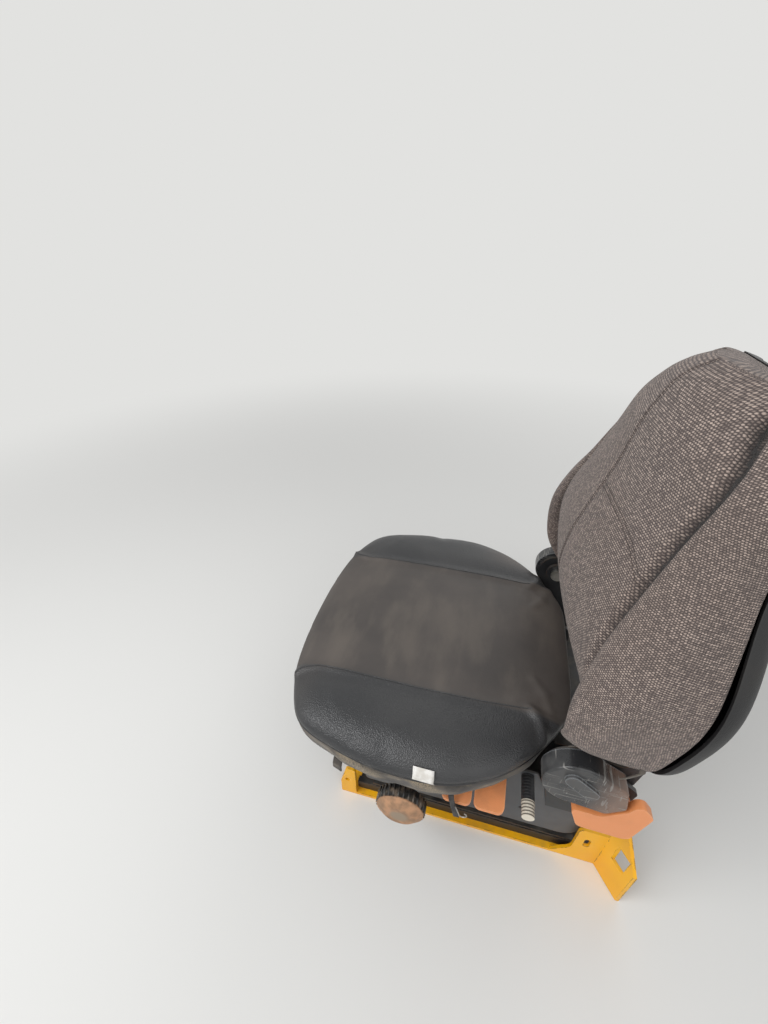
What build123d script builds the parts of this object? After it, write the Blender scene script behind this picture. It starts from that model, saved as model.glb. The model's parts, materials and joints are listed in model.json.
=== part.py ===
from build123d import *
from math import atan2, degrees, hypot, radians, tan
import os

# Operator's seat of a construction machine: a cushion and a raked backrest on a low scissor
# suspension, slide rails and a bolted base frame.
# All sizes are in millimetres and degrees. +X is forward, +Y is the sitter's left, +Z is up.
# The origin is the middle of the four base bolts, on the underside of the base frame.

# Base frame
base_plate = 6.0
base_front_x = 232.0
base_rear_x = -195.0
base_half_width = 176.0
base_strip_width = 78.0
base_cross_width = 55.0
upright_sheet = 5.0
bolt_spacing_x = 300.0
bolt_spacing_y = 226.0
bolt_hole_radius = 5.5
lug_length = 27.0
lug_height = 80.0
lug_hole_radius = 4.5
rear_upright_length = 46.0
rear_upright_height = 96.0
wing_spread = 40.0
wing_sweep = 26.0
wing_height = 146.0

# Slide rails
rail_length = 385.0
rail_middle_x = 12.0
rail_width = 38.0
rail_height = 20.0
rail_sheet = 2.5
rail_mouth = 18.0
rail_inset = 10.0
slider_length = 330.0
slider_flange = 3.0
slider_web = 6.0
slider_rise = 8.0
slide_gap = 0.3
side_gap = 1.0

# Suspension
tray_sheet = 3.0
tray_wall_height = 34.0
tray_length = 330.0
tray_half_width = 156.0
suspension_height = 132.0
deck_sheet = 3.0
deck_front_x = 190.0
deck_rear_x = -152.0
skirt_half_width = 165.0
skirt_sheet = 3.0
skirt_bottom_gap = 11.0
skirt_corner = 26.0
arm_sheet = 6.0
arm_width = 20.0
arm_inner_y = 128.0
arm_gap = 2.0
arm_reach = 135.0
roller_radius = 11.0
roller_width = 12.0
shaft_radius = 7.0
ear_sheet = 5.0
fit_gap = 0.05
air_spring_x = -68.0
air_spring_radius = 46.0
air_spring_folds = 3
damper_y = -62.0
damper_radius = 14.0
damper_rod_radius = 6.0

# Cushion tilt and depth frame
tilt_clearance = 14.0
tilt_rail_y = 95.0
tilt_rail_width = 20.0
tilt_rail_height = 15.0
tilt_front_x = 190.0
tilt_pivot_x = -118.0
tilt_shaft_radius = 5.0
tilt_cross_height = 8.0
tilt_cross_width = 18.0
pan_sheet = 3.0
pan_depth = 12.0
pan_inset = 24.0
runner_lip = 3.0
runner_drop = 10.0
runner_rear_gap = 26.0

# Seat cushion
cushion_width = 500.0
cushion_front_x = 311.0
cushion_rear_x = -105.0
cushion_band = 66.0
cushion_crown = 9.0
cushion_crown_run = 16.0

# Recliner
hinge_x = -97.0
hinge_rise = 112.0
back_rake = 12.3
hinge_plate = 6.0
hinge_plate_y = 186.0
hinge_radius = 34.0
hinge_foot_sheet = 6.0
recliner_arm_y = 178.0
recliner_arm_radius = 21.0
hinge_pin_radius = 8.0
cover_radius = 40.0
cover_depth = 24.0

# Backrest, in its own frame: u forward and v up along the back, from the hinge
back_height = 456.0
back_bottom = -5.0
back_half_width = 238.0
back_split_u = -55.0
back_split_slope = 0.095
back_front_u = 80.0
back_rim_step = 6.0
shell_depth = 32.0
shell_sheet = 3.5
shell_corner = 34.0
frame_tube_radius = 9.0

# Controls
knob_x = 113.0
knob_radius = 35.0
knob_drop = 17.0
knob_y = 224.0
knob_rim = 20.0
knob_dome = 8.0
knob_neck_radius = 12.0
paddle_width = 42.0
paddle_gap = 3.5
paddle_front_x = 59.0
paddle_tip_y = 219.0
paddle_sheet = 6.0
paddle_droop = 18.0
handle_sheet = 12.0
stud_x = -58.0
stud_radius = 9.0
stud_length = 40.0
nut_length = 15.0
release_bar_radius = 5.0
release_bar_reach = 40.0
release_bar_y = 118.0

# Heights that follow from the stack of pieces
rail_z = base_plate
slider_top_z = rail_z + rail_height + slider_rise
tray_floor_z = slider_top_z + tray_sheet
deck_z = tray_floor_z + suspension_height
deck_top_z = deck_z + deck_sheet
tilt_z = deck_top_z + tilt_clearance
tilt_top_z = tilt_z + tilt_rail_height
pan_z = tilt_top_z + slide_gap
pan_top_z = pan_z + pan_depth
hinge_z = deck_top_z + hinge_rise
rail_y = base_half_width - rail_inset - rail_width / 2
half_cushion = cushion_width / 2

parts = {}


def block(x_low, x_high, y_low, y_high, z_low, z_high):
    """Box between two corners."""
    middle = ((x_low + x_high) / 2, (y_low + y_high) / 2, (z_low + z_high) / 2)
    return Pos(*middle) * Box(x_high - x_low, y_high - y_low, z_high - z_low)


def outline(corners):
    """Flat face from rows of (first coordinate, second coordinate, corner radius)."""
    points = [(a, b) for a, b, _ in corners]
    radii = [r for _, _, r in corners]
    return make_face(FilletPolyline(*points, radius=radii, close=True))


def slab(face, y_low, y_high):
    """Plate that stands along X and Z, from a side-view face."""
    standing = Pos(0, y_low, 0) * (Plane.XZ * face)
    return extrude(standing, amount=y_high - y_low, dir=(0, 1, 0))


def rod(x, z, radius, y_low, y_high):
    """Round bar or hole across the seat, along Y."""
    return Pos(x, (y_low + y_high) / 2, z) * Rot(90, 0, 0) * Cylinder(radius, y_high - y_low)


def link(start, end, width, y_low, y_high):
    """Flat bar with round ends between two pivots, each given as (x, z)."""
    run_x = end[0] - start[0]
    run_z = end[1] - start[1]
    length = hypot(run_x, run_z)
    bar = Pos(length / 2, 0) * SlotCenterToCenter(length, width)
    face = Pos(start[0], start[1]) * Rot(0, 0, degrees(atan2(run_z, run_x))) * bar
    return slab(face, y_low, y_high)


def both_sides(name, left):
    """Adds a left-hand piece and its mirror image."""
    parts[name + "_left"] = left
    parts[name + "_right"] = mirror(left, about=Plane.XZ)


def build_base():
    """Four welded strips, front lugs, rear uprights and the rear wings."""
    inner_y = base_half_width - base_strip_width
    strip = block(base_rear_x, base_front_x, inner_y, base_half_width, 0, base_plate)
    for x in (-bolt_spacing_x / 2, bolt_spacing_x / 2):
        hole = Pos(x, bolt_spacing_y / 2, base_plate / 2) * Cylinder(bolt_hole_radius, 3 * base_plate)
        strip -= hole
    web_y = base_half_width - upright_sheet
    lug_rear_x = base_front_x - lug_length
    lug = outline([
        (lug_rear_x, base_plate, 0),
        (base_front_x, base_plate, 0),
        (base_front_x, lug_height * 0.45, 10),
        (base_front_x - lug_length * 0.4, lug_height, 5),
        (lug_rear_x, lug_height, 5),
    ])
    lug -= Pos(base_front_x - lug_length * 0.45, lug_height * 0.55) * Circle(lug_hole_radius)
    rear_top = rear_upright_height
    rear_end = base_rear_x + rear_upright_length
    upright = outline([
        (base_rear_x, base_plate, 0),
        (rear_end + skirt_corner, base_plate, 0),
        (rear_end, base_plate + skirt_corner, skirt_corner * 0.9),
        (rear_end, rear_top, 8),
        (base_rear_x, rear_top, 4),
    ])
    slot_x = base_rear_x + rear_upright_length * 0.62
    upright -= Pos(slot_x, rear_top * 0.62) * Rot(0, 0, 90) * SlotCenterToCenter(14, 9)
    side = strip + slab(lug, web_y, base_half_width) + slab(upright, web_y, base_half_width)
    both_sides("base_side", side)
    cross_front = block(
        base_front_x - base_cross_width, base_front_x, -inner_y, inner_y, 0, base_plate
    )
    cross_rear = block(base_rear_x, base_rear_x + base_cross_width, -inner_y, inner_y, 0, base_plate)
    parts["base_cross_members"] = Compound([cross_front, cross_rear])
    swept_x = base_rear_x - wing_sweep
    wing_plan = make_face(Polyline(
        (base_rear_x + upright_sheet, base_half_width),
        (swept_x + upright_sheet, base_half_width + wing_spread),
        (swept_x, base_half_width + wing_spread),
        (base_rear_x, base_half_width),
        close=True,
    ))
    wing = extrude(wing_plan, amount=wing_height)
    face_y = base_half_width + wing_spread / 2
    window = block(
        swept_x - 10, base_rear_x + 10, face_y - 8, face_y + 10, wing_height * 0.45, wing_height * 0.72
    )
    trim = extrude(
        Plane.YZ.offset(swept_x - 10) * make_face(Polyline(
            (base_half_width + wing_spread * 0.3, wing_height + 1),
            (base_half_width + wing_spread + 1, wing_height + 1),
            (base_half_width + wing_spread + 1, wing_height * 0.6),
            close=True,
        )),
        amount=wing_sweep + 30,
    )
    both_sides("base_wing", wing - window - trim)


def build_rails():
    """Fixed C rails on the base, and the sliders that carry the seat fore and aft."""
    half = rail_width / 2
    mouth = rail_mouth / 2
    top = rail_z + rail_height
    channel = block(
        rail_middle_x - rail_length / 2, rail_middle_x + rail_length / 2,
        rail_y - half, rail_y + half, rail_z, top,
    )
    channel -= block(
        rail_middle_x - rail_length, rail_middle_x + rail_length,
        rail_y - half + rail_sheet, rail_y + half - rail_sheet, rail_z + rail_sheet, top - rail_sheet,
    )
    channel -= block(
        rail_middle_x - rail_length, rail_middle_x + rail_length,
        rail_y - mouth, rail_y + mouth, top - 2 * rail_sheet, top + 1,
    )
    both_sides("fixed_rail", channel)
    front = rail_middle_x + slider_length / 2
    rear = rail_middle_x - slider_length / 2
    foot = rail_z + rail_sheet + slide_gap
    foot_half = half - rail_sheet - side_gap
    slider = block(rear, front, rail_y - foot_half, rail_y + foot_half, foot, foot + slider_flange)
    slider += block(rear, front, rail_y - slider_web / 2, rail_y + slider_web / 2, foot, slider_top_z)
    slider += block(
        rear, front, rail_y - half, rail_y + half, slider_top_z - slider_flange, slider_top_z
    )
    shoulder = top - rail_sheet - slide_gap
    for x in (rear + 30, front - 30):
        slider += block(
            x - 14, x + 14, rail_y - foot_half, rail_y + foot_half, foot, shoulder
        )
    both_sides("slider", slider)
    bar_z = slider_top_z - slide_gap - release_bar_radius
    bar_front = front + release_bar_reach + 20
    bar_rear = front - 90
    path = FilletPolyline(
        (bar_rear, release_bar_y, bar_z),
        (bar_front - 30, release_bar_y, bar_z),
        (bar_front, release_bar_y - 30, bar_z),
        (bar_front, 30 - release_bar_y, bar_z),
        (bar_front - 30, -release_bar_y, bar_z),
        (bar_rear, -release_bar_y, bar_z),
        radius=20,
    )
    bar = sweep(Plane(path @ 0, z_dir=path % 0) * Circle(release_bar_radius), path=path)
    for side in (1, -1):
        near = min(side * release_bar_y, side * (rail_y - half))
        far = max(side * release_bar_y, side * (rail_y - half))
        bar += block(bar_rear + 8, bar_rear + 30, near, far, slider_top_z - slider_flange, slider_top_z)
    parts["release_bar"] = bar


def build_suspension():
    """Tray, crossed arms with rollers and shafts, air spring and damper, under a skirted deck."""
    tray_front = rail_middle_x + tray_length / 2
    tray_rear = rail_middle_x - tray_length / 2
    low_z = tray_floor_z + roller_radius + fit_gap
    high_z = deck_z - roller_radius - fit_gap
    outer_y = arm_inner_y + arm_sheet + arm_gap
    wall_y = tray_half_width - tray_sheet
    tray = block(tray_rear, tray_front, -tray_half_width, tray_half_width, slider_top_z, tray_floor_z)
    for side in (1, -1):
        low = min(side * wall_y, side * tray_half_width)
        high = max(side * wall_y, side * tray_half_width)
        tray += block(tray_rear, tray_front, low, high, tray_floor_z, tray_floor_z + tray_wall_height)
    tray -= rod(-arm_reach, low_z, shaft_radius + fit_gap, -tray_half_width - 1, tray_half_width + 1)
    parts["suspension_tray"] = tray

    hole = shaft_radius + fit_gap
    centre = (0, (low_z + high_z) / 2)
    rows = [
        ("scissor_arm_outer", (-arm_reach, low_z), (arm_reach, high_z), outer_y),
        ("scissor_arm_inner", (-arm_reach, high_z), (arm_reach, low_z), arm_inner_y),
    ]
    for name, rear_end, front_end, y in rows:
        arm = link(rear_end, front_end, arm_width, y, y + arm_sheet)
        arm -= link(
            (rear_end[0] * 0.72, centre[1] + (rear_end[1] - centre[1]) * 0.72),
            (rear_end[0] * 0.28, centre[1] + (rear_end[1] - centre[1]) * 0.28),
            arm_width * 0.35, y - 1, y + arm_sheet + 1,
        )
        arm -= link(
            (front_end[0] * 0.28, centre[1] + (front_end[1] - centre[1]) * 0.28),
            (front_end[0] * 0.72, centre[1] + (front_end[1] - centre[1]) * 0.72),
            arm_width * 0.35, y - 1, y + arm_sheet + 1,
        )
        for x, z in (rear_end, centre, front_end):
            arm -= rod(x, z, hole, y - 1, y + arm_sheet + 1)
        both_sides(name, arm)

    shaft_rows = [
        (0, centre[1], outer_y + arm_sheet),
        (-arm_reach, low_z, tray_half_width),
        (-arm_reach, high_z, arm_inner_y + arm_sheet),
        (arm_reach, low_z, arm_inner_y + arm_sheet),
        (arm_reach, high_z, outer_y + arm_sheet),
    ]
    shafts = []
    for x, z, half in shaft_rows:
        shaft = rod(x, z, shaft_radius, -half, half)
        if x > 0:
            for side in (1, -1):
                near = side * (arm_inner_y - 2)
                far = side * (arm_inner_y - 2 - roller_width)
                shaft += rod(x, z, roller_radius, min(near, far), max(near, far))
        shafts.append(shaft)
    parts["scissor_shafts"] = Compound(shafts)

    spring_low = tray_floor_z
    fold = (suspension_height - 2 * tray_sheet) / air_spring_folds
    column = Pos(air_spring_x, 0, spring_low + suspension_height / 2) * Cylinder(
        air_spring_radius * 0.72, suspension_height
    )
    for index in range(air_spring_folds):
        z = spring_low + tray_sheet + fold * (index + 0.5)
        column += Pos(air_spring_x, 0, z) * Torus(air_spring_radius - fold * 0.36, fold * 0.36)
    parts["air_spring"] = column

    eye = damper_radius
    lower_eye = (42.0, tray_floor_z + eye)
    upper_eye = (arm_reach - 22, deck_z - eye)
    run = (upper_eye[0] - lower_eye[0], upper_eye[1] - lower_eye[1])
    length = hypot(*run)
    lean = degrees(atan2(run[0], run[1]))
    tube_length = length * 0.5
    place = Pos(lower_eye[0], damper_y, lower_eye[1]) * Rot(0, lean, 0)
    tube = place * (Pos(0, 0, eye * 0.5 + tube_length / 2) * Cylinder(damper_radius, tube_length))
    tube += rod(lower_eye[0], lower_eye[1], eye - fit_gap, damper_y - 10, damper_y + 10)
    stem_length = length - eye * 0.5 - tube_length
    stem = place * (Pos(0, 0, length - stem_length / 2) * Cylinder(damper_rod_radius, stem_length))
    stem += rod(upper_eye[0], upper_eye[1], eye - fit_gap, damper_y - 10, damper_y + 10)
    parts["damper_tube"] = tube - stem
    parts["damper_rod"] = stem


def build_deck():
    """Suspension top plate with its ears, the side skirts and the cushion's rest pads."""
    side_y = skirt_half_width - skirt_sheet
    deck = block(deck_rear_x, deck_front_x, -side_y, side_y, deck_z, deck_top_z)
    high_z = deck_z - roller_radius - fit_gap
    ear_y = arm_inner_y - ear_sheet - 2
    pivot_z = tilt_z + tilt_rail_height / 2
    tilt_ear_y = tilt_rail_y + tilt_rail_width + runner_lip + 2
    hole = shaft_radius + fit_gap
    for side in (1, -1):
        under = sorted((side * ear_y, side * (ear_y + ear_sheet)))
        ear = block(
            -arm_reach - 14, -arm_reach + 14, under[0], under[1], high_z - shaft_radius - 6, deck_z
        )
        ear -= rod(-arm_reach, high_z, hole, under[0] - 1, under[1] + 1)
        above = sorted((side * tilt_ear_y, side * (tilt_ear_y + ear_sheet)))
        lug = outline([
            (tilt_pivot_x - 18, deck_top_z, 0),
            (tilt_pivot_x + 18, deck_top_z, 0),
            (tilt_pivot_x + 11, pivot_z + 11, 8),
            (tilt_pivot_x - 11, pivot_z + 11, 8),
        ])
        lug = slab(lug, above[0], above[1])
        lug -= rod(tilt_pivot_x, pivot_z, tilt_shaft_radius + fit_gap, above[0] - 1, above[1] + 1)
        deck += ear + lug
    parts["suspension_deck"] = deck

    skirt_low = slider_top_z + skirt_bottom_gap
    stud_z = deck_top_z + stud_radius + 3
    skirt = outline([
        (deck_rear_x, skirt_low, skirt_corner),
        (deck_front_x, skirt_low, 8),
        (deck_front_x, deck_top_z, 0),
        (stud_x + 22, deck_top_z, 0),
        (stud_x + 13, stud_z + stud_radius + 3, 7),
        (stud_x - 13, stud_z + stud_radius + 3, 7),
        (stud_x - 22, deck_top_z, 0),
        (deck_rear_x, deck_top_z, 0),
    ])
    skirt -= Pos(stud_x - 64, deck_z - 10) * Rot(0, 0, -25) * SlotCenterToCenter(12, 8)
    skirt -= Pos(stud_x - 5, skirt_low + 45) * Circle(3)
    both_sides("side_skirt", slab(skirt, side_y, skirt_half_width))

    nut_y = skirt_half_width + stud_length
    stud = rod(stud_x, stud_z, stud_radius, skirt_half_width, nut_y)
    stud += rod(stud_x, stud_z, stud_radius - 0.6, nut_y, nut_y + nut_length)
    both_sides("side_stud", stud)

    pad = block(
        tilt_front_x - 45, tilt_front_x - 25, tilt_rail_y, tilt_rail_y + tilt_rail_width,
        deck_top_z, tilt_z - slide_gap,
    )
    parts["tilt_pads"] = Compound([pad, mirror(pad, about=Plane.XZ)])
    parts["tilt_shaft"] = rod(
        tilt_pivot_x, pivot_z, tilt_shaft_radius, -tilt_ear_y - ear_sheet, tilt_ear_y + ear_sheet
    )


def build_tilt_frame():
    """Ladder that carries the cushion's runners, with the two paddles under its left edge."""
    pivot_z = tilt_z + tilt_rail_height / 2
    inner = tilt_rail_y
    outer = tilt_rail_y + tilt_rail_width
    rail = block(tilt_pivot_x, tilt_front_x, inner, outer, tilt_z, tilt_top_z)
    rail += rod(tilt_pivot_x, pivot_z, tilt_rail_height / 2, inner, outer)
    rail -= rod(tilt_pivot_x, pivot_z, tilt_shaft_radius + fit_gap, inner - 1, outer + 1)
    both_sides("tilt_rail", rail)
    low = tilt_z - tilt_cross_height
    members = [
        block(x, x + tilt_cross_width, -outer, outer, low, tilt_z)
        for x in (tilt_front_x - tilt_cross_width, tilt_pivot_x + 34)
    ]
    parts["tilt_cross_members"] = Compound(members)


def cushion_outline():
    """Plan of the seat cushion at its piping."""
    rows = [
        (cushion_rear_x, half_cushion - 142, 45),
        (cushion_rear_x + 46, half_cushion - 75, 50),
        (cushion_rear_x + 96, half_cushion - 29, 70),
        (cushion_rear_x + 167, half_cushion, 100),
        (cushion_front_x - 141, half_cushion, 120),
        (cushion_front_x - 35, half_cushion - 26, 60),
        (cushion_front_x, half_cushion - 100, 60),
    ]
    other_side = [(x, -y, radius) for x, y, radius in reversed(rows)]
    return outline(rows + other_side)


def build_cushion():
    """Upholstered cushion on a pressed pan, whose runners slide on the tilt rails."""
    plan = cushion_outline()
    pan_plan = offset(plan, amount=-pan_inset)
    pan = extrude(Pos(0, 0, pan_z) * pan_plan, amount=pan_depth)
    inner_plan = offset(plan, amount=-pan_inset - pan_sheet)
    pan -= extrude(Pos(0, 0, pan_z - 1) * inner_plan, amount=pan_depth - pan_sheet + 1)
    inner = tilt_rail_y - side_gap / 2
    outer = tilt_rail_y + tilt_rail_width + side_gap / 2
    runner_front = tilt_front_x - 25
    runner_rear = tilt_pivot_x + runner_rear_gap
    for side in (1, -1):
        span = sorted((side * (inner - runner_lip), side * (outer + runner_lip)))
        slot = sorted((side * inner, side * outer))
        low = tilt_top_z - runner_drop
        runner = block(runner_rear, runner_front, span[0], span[1], low, pan_top_z - 1)
        runner -= block(runner_rear - 1, runner_front + 1, slot[0], slot[1], low - 1, pan_z)
        pan += runner
    parts["cushion_pan"] = pan
    cushion = extrude(Pos(0, 0, pan_top_z) * plan, amount=cushion_band + cushion_crown)
    rim = cushion.faces().sort_by(Axis.Z)[-1]
    cushion = chamfer(rim.edges(), cushion_crown_run, cushion_crown, reference=rim)
    parts["seat_cushion"] = cushion


def split_u(v):
    """Where the upholstery meets the shell, at a height up the back."""
    return back_split_u + back_split_slope * v


def flip(point):
    """The same point on the other side of the seat."""
    return Vector(point.X, -point.Y, point.Z)


def back_rows():
    """Sections of the backrest from its bottom up, all measured in its own frame."""
    wide = back_half_width
    low = back_bottom
    top = back_height
    front = back_front_u
    deep = shell_depth
    # height, half width, front at the middle, seam half width, front at the seam, front at the side, shell
    return [
        (low, wide - 92, front - 108, wide - 110, front - 113, front - 118, deep - 18),
        (low + 28, wide - 66, front - 88, wide - 90, front - 94, front - 106, deep - 12),
        (low + 52, wide - 47, front - 66, wide - 70, front - 74, front - 98, deep - 8),
        (low + 90, wide - 12, front - 40, wide - 54, front - 48, front - 90, deep - 2),
        (low + 135, wide, front - 22, wide - 46, front - 30, front - 84, deep),
        (low + 211, wide, front - 6, wide - 48, front - 20, front - 76, deep),
        (top - 138, wide - 58, front, wide - 82, front - 22, front - 66, deep - 1),
        (top - 58, wide - 74, front, wide - 98, front - 24, front - 58, deep - 6),
        (top - 18, wide - 110, front - 6, wide - 134, front - 22, front - 54, deep - 16),
        (top, wide - 142, front - 28, wide - 158, front - 36, front - 60, deep - 26),
    ]


def pad_section(v, half, front, seam, seam_u, side_u):
    """Level cut through the back cushion: flat rear, bolstered corners and a crowned front."""
    rear = Vector(split_u(v), half - back_rim_step, v)
    side = Vector(side_u, half, v)
    corner = Vector(seam_u, seam, v)
    bulge = (side + corner) * 0.5 + Vector(half - seam, seam_u - side_u, 0) * 0.16
    return make_face([
        Line(flip(rear), rear),
        Line(rear, side),
        ThreePointArc(side, bulge, corner),
        ThreePointArc(corner, Vector(front, 0, v), flip(corner)),
        ThreePointArc(flip(corner), flip(bulge), flip(side)),
        Line(flip(side), flip(rear)),
    ])


def shell_section(v, half, depth, inset):
    """Level cut through the shell, behind the cushion."""
    reach = half - back_rim_step - inset
    rim_u = split_u(v) + inset * 0.3
    back_u = split_u(v) - depth + inset
    rim = Vector(rim_u, reach, v)
    turn = Vector(back_u, reach - shell_corner, v)
    bulge = (rim + turn) * 0.5 + Vector(-shell_corner, depth, 0) * 0.18
    return make_face([
        Line(flip(rim), rim),
        ThreePointArc(rim, bulge, turn),
        Line(turn, flip(turn)),
        ThreePointArc(flip(turn), flip(bulge), flip(rim)),
    ])


def build_backrest():
    """Upholstered backrest, its moulded shell, and the frame that hangs on the recliner."""
    rest = Pos(hinge_x, 0, hinge_z) * Rot(0, -back_rake, 0)
    rows = back_rows()
    parts["back_cushion"] = rest * loft([pad_section(*row[:6]) for row in rows])

    shell = loft([shell_section(row[0], row[1], row[6], 0) for row in rows])
    shrink = 1 - 2 * shell_sheet / (back_height - back_bottom)
    hollow = [back_bottom + shell_sheet + (row[0] - back_bottom) * shrink for row in rows]
    shell -= loft([
        shell_section(v, row[1], row[6], shell_sheet) for v, row in zip(hollow, rows)
    ])
    arm_outer_y = recliner_arm_y + hinge_plate
    notch_low = recliner_arm_y - slide_gap
    notch_high = arm_outer_y + slide_gap
    for side in (1, -1):
        span = sorted((side * notch_low, side * notch_high))
        shell -= block(-140, split_u(0) + 8, span[0], span[1], back_bottom - 20, back_bottom + 95)
    parts["back_shell"] = rest * shell

    arm_top = 150
    tube_depth = frame_tube_radius + 3
    arm = outline([
        (0, -recliner_arm_radius, 0),
        (split_u(0) - 2 * tube_depth, 4 - recliner_arm_radius, 14),
        (split_u(arm_top) - 2 * tube_depth + 2, arm_top, 6),
        (split_u(arm_top) - 3, arm_top, 6),
        (split_u(0) - 3, recliner_arm_radius, 12),
        (0, recliner_arm_radius, 0),
    ])
    arm += Circle(recliner_arm_radius)
    arm -= Circle(hinge_pin_radius + fit_gap)
    both_sides("recliner_arm", rest * slab(arm, recliner_arm_y, arm_outer_y))
    tube_v = 122
    tube = rod(split_u(tube_v) - tube_depth, tube_v, frame_tube_radius, -recliner_arm_y, recliner_arm_y)
    parts["back_cross_tube"] = rest * tube


def build_recliner():
    """Hinge brackets on the deck, their pins and moulded covers, and the recline handle."""
    plate_outer = hinge_plate_y + hinge_plate
    foot_front = hinge_x + 14
    foot_rear = hinge_x - 53
    bracket = outline([
        (foot_rear, deck_top_z, 0),
        (foot_front, deck_top_z, 0),
        (hinge_x + hinge_radius - 1, hinge_z - 8, 0),
        (hinge_x - 12, hinge_z + hinge_radius - 2, 0),
        (hinge_x - 81, hinge_z - 26, 10),
        (hinge_x - 74, hinge_z - 62, 12),
    ])
    bracket += Pos(hinge_x, hinge_z) * Circle(hinge_radius)
    bracket -= Pos(hinge_x, hinge_z) * Circle(hinge_pin_radius + fit_gap)
    plate = slab(bracket, hinge_plate_y, plate_outer)
    plate += block(
        foot_rear, foot_front, skirt_half_width - 25, plate_outer, deck_top_z,
        deck_top_z + hinge_foot_sheet,
    )
    both_sides("hinge_bracket", plate)

    pin = rod(hinge_x, hinge_z, hinge_pin_radius, recliner_arm_y - slide_gap, plate_outer)
    pin += rod(
        hinge_x, hinge_z, hinge_pin_radius + 5, recliner_arm_y - slide_gap - 5, recliner_arm_y - slide_gap
    )
    both_sides("hinge_pin", pin)

    cover_y = plate_outer + slide_gap
    face = outline([
        (hinge_x, hinge_z - cover_radius, 0),
        (hinge_x - 44, hinge_z - cover_radius - 6, 10),
        (hinge_x - 64, hinge_z - 24, 10),
        (hinge_x - 56, hinge_z + 12, 12),
        (hinge_x - 8, hinge_z + cover_radius - 1, 0),
    ])
    face += Pos(hinge_x, hinge_z) * Circle(cover_radius)
    cover = slab(face, cover_y, cover_y + cover_depth)
    rim = cover.faces().sort_by(Axis.Y)[-1]
    cover = fillet(rim.edges(), 3)
    boss = Pos(hinge_x - 5, hinge_z + 6) * Rot(0, 0, 39) * SlotCenterToCenter(30, 19)
    cover += slab(boss, cover_y + cover_depth - 4, cover_y + cover_depth + 4)
    both_sides("hinge_cover", cover)

    grip = outline([
        (hinge_x - 5, hinge_z - 53, 6),
        (hinge_x - 42, hinge_z - 54, 14),
        (hinge_x - 66, hinge_z - 28, 10),
        (hinge_x - 75, hinge_z - 4, 8),
        (hinge_x - 94, hinge_z - 28, 10),
        (hinge_x - 83, hinge_z - 94, 12),
        (hinge_x - 20, hinge_z - 92, 10),
    ])
    handle_y = cover_y + cover_depth / 2
    handle = slab(grip, handle_y, handle_y + handle_sheet)
    handle += rod(hinge_x - 66, hinge_z - 42, 9, cover_y, handle_y)
    parts["recline_handle"] = handle


def build_controls():
    """Ribbed weight knob on its neck, and the two paddles of the tilt frame."""
    knob_z = deck_top_z - knob_drop
    profile = outline([
        (0, 0, 0),
        (knob_radius - 2, 0, 2),
        (knob_radius, knob_rim * 0.5, 0),
        (knob_radius - 1, knob_rim, 2),
        (knob_radius * 0.62, knob_rim + knob_dome, 8),
        (0, knob_rim + knob_dome, 0),
    ])
    knob = revolve(profile, axis=Axis.Y)
    parts["weight_knob"] = Pos(knob_x, knob_y, knob_z) * knob
    neck = rod(knob_x, knob_z, knob_neck_radius, skirt_half_width, knob_y)
    neck += rod(knob_x, knob_z, knob_neck_radius + 8, skirt_half_width, skirt_half_width + 10)
    parts["knob_neck"] = neck

    bend_y = skirt_half_width + 7
    drop = (paddle_tip_y - bend_y) * tan(radians(paddle_droop))
    for index, name in enumerate(("paddle_tilt", "paddle_depth")):
        front = paddle_front_x - index * (paddle_width + paddle_gap)
        rear = front - paddle_width
        blade_face = Plane.YZ.offset(rear) * make_face(Polyline(
            (bend_y - 4, tilt_z),
            (bend_y, tilt_z),
            (paddle_tip_y, tilt_z - drop),
            (paddle_tip_y, tilt_z - drop - paddle_sheet),
            (bend_y - 4, tilt_z - paddle_sheet),
            close=True,
        ))
        blade = extrude(blade_face, amount=paddle_width)
        tip = blade.edges().filter_by(Axis.Z).sort_by(Axis.Y)[-2:]
        blade = fillet(tip, 9)
        stem = block(
            rear + paddle_width * 0.25, front - paddle_width * 0.25, tilt_rail_y, bend_y - 4,
            tilt_z - paddle_sheet, tilt_z,
        )
        parts[name] = blade + stem


build_base()
build_rails()
build_suspension()
build_deck()
build_tilt_frame()
build_cushion()
build_backrest()
build_recliner()
build_controls()

os.makedirs("parts", exist_ok=True)
for name, shape in parts.items():
    export_step(shape, "parts/" + name + ".step")
    print(name, len(shape.solids()), round(shape.volume))
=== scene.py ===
# %% [markdown]
# # Operator's seat
#
# The seat of a construction machine: a vinyl cushion and a woven backrest over a black suspension, on a
# yellow base frame. The CAD model gives every rigid piece in its place. This lesson dresses it: it gives
# each metal and plastic piece a worn finish, and models the upholstery again as cloth would lie.

# %% Load the frame
import bmesh
import bpy
import json
import math
import numpy as np
from mathutils import Matrix, Vector
from mathutils.bvhtree import BVHTree
from mathutils.kdtree import KDTree


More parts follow.
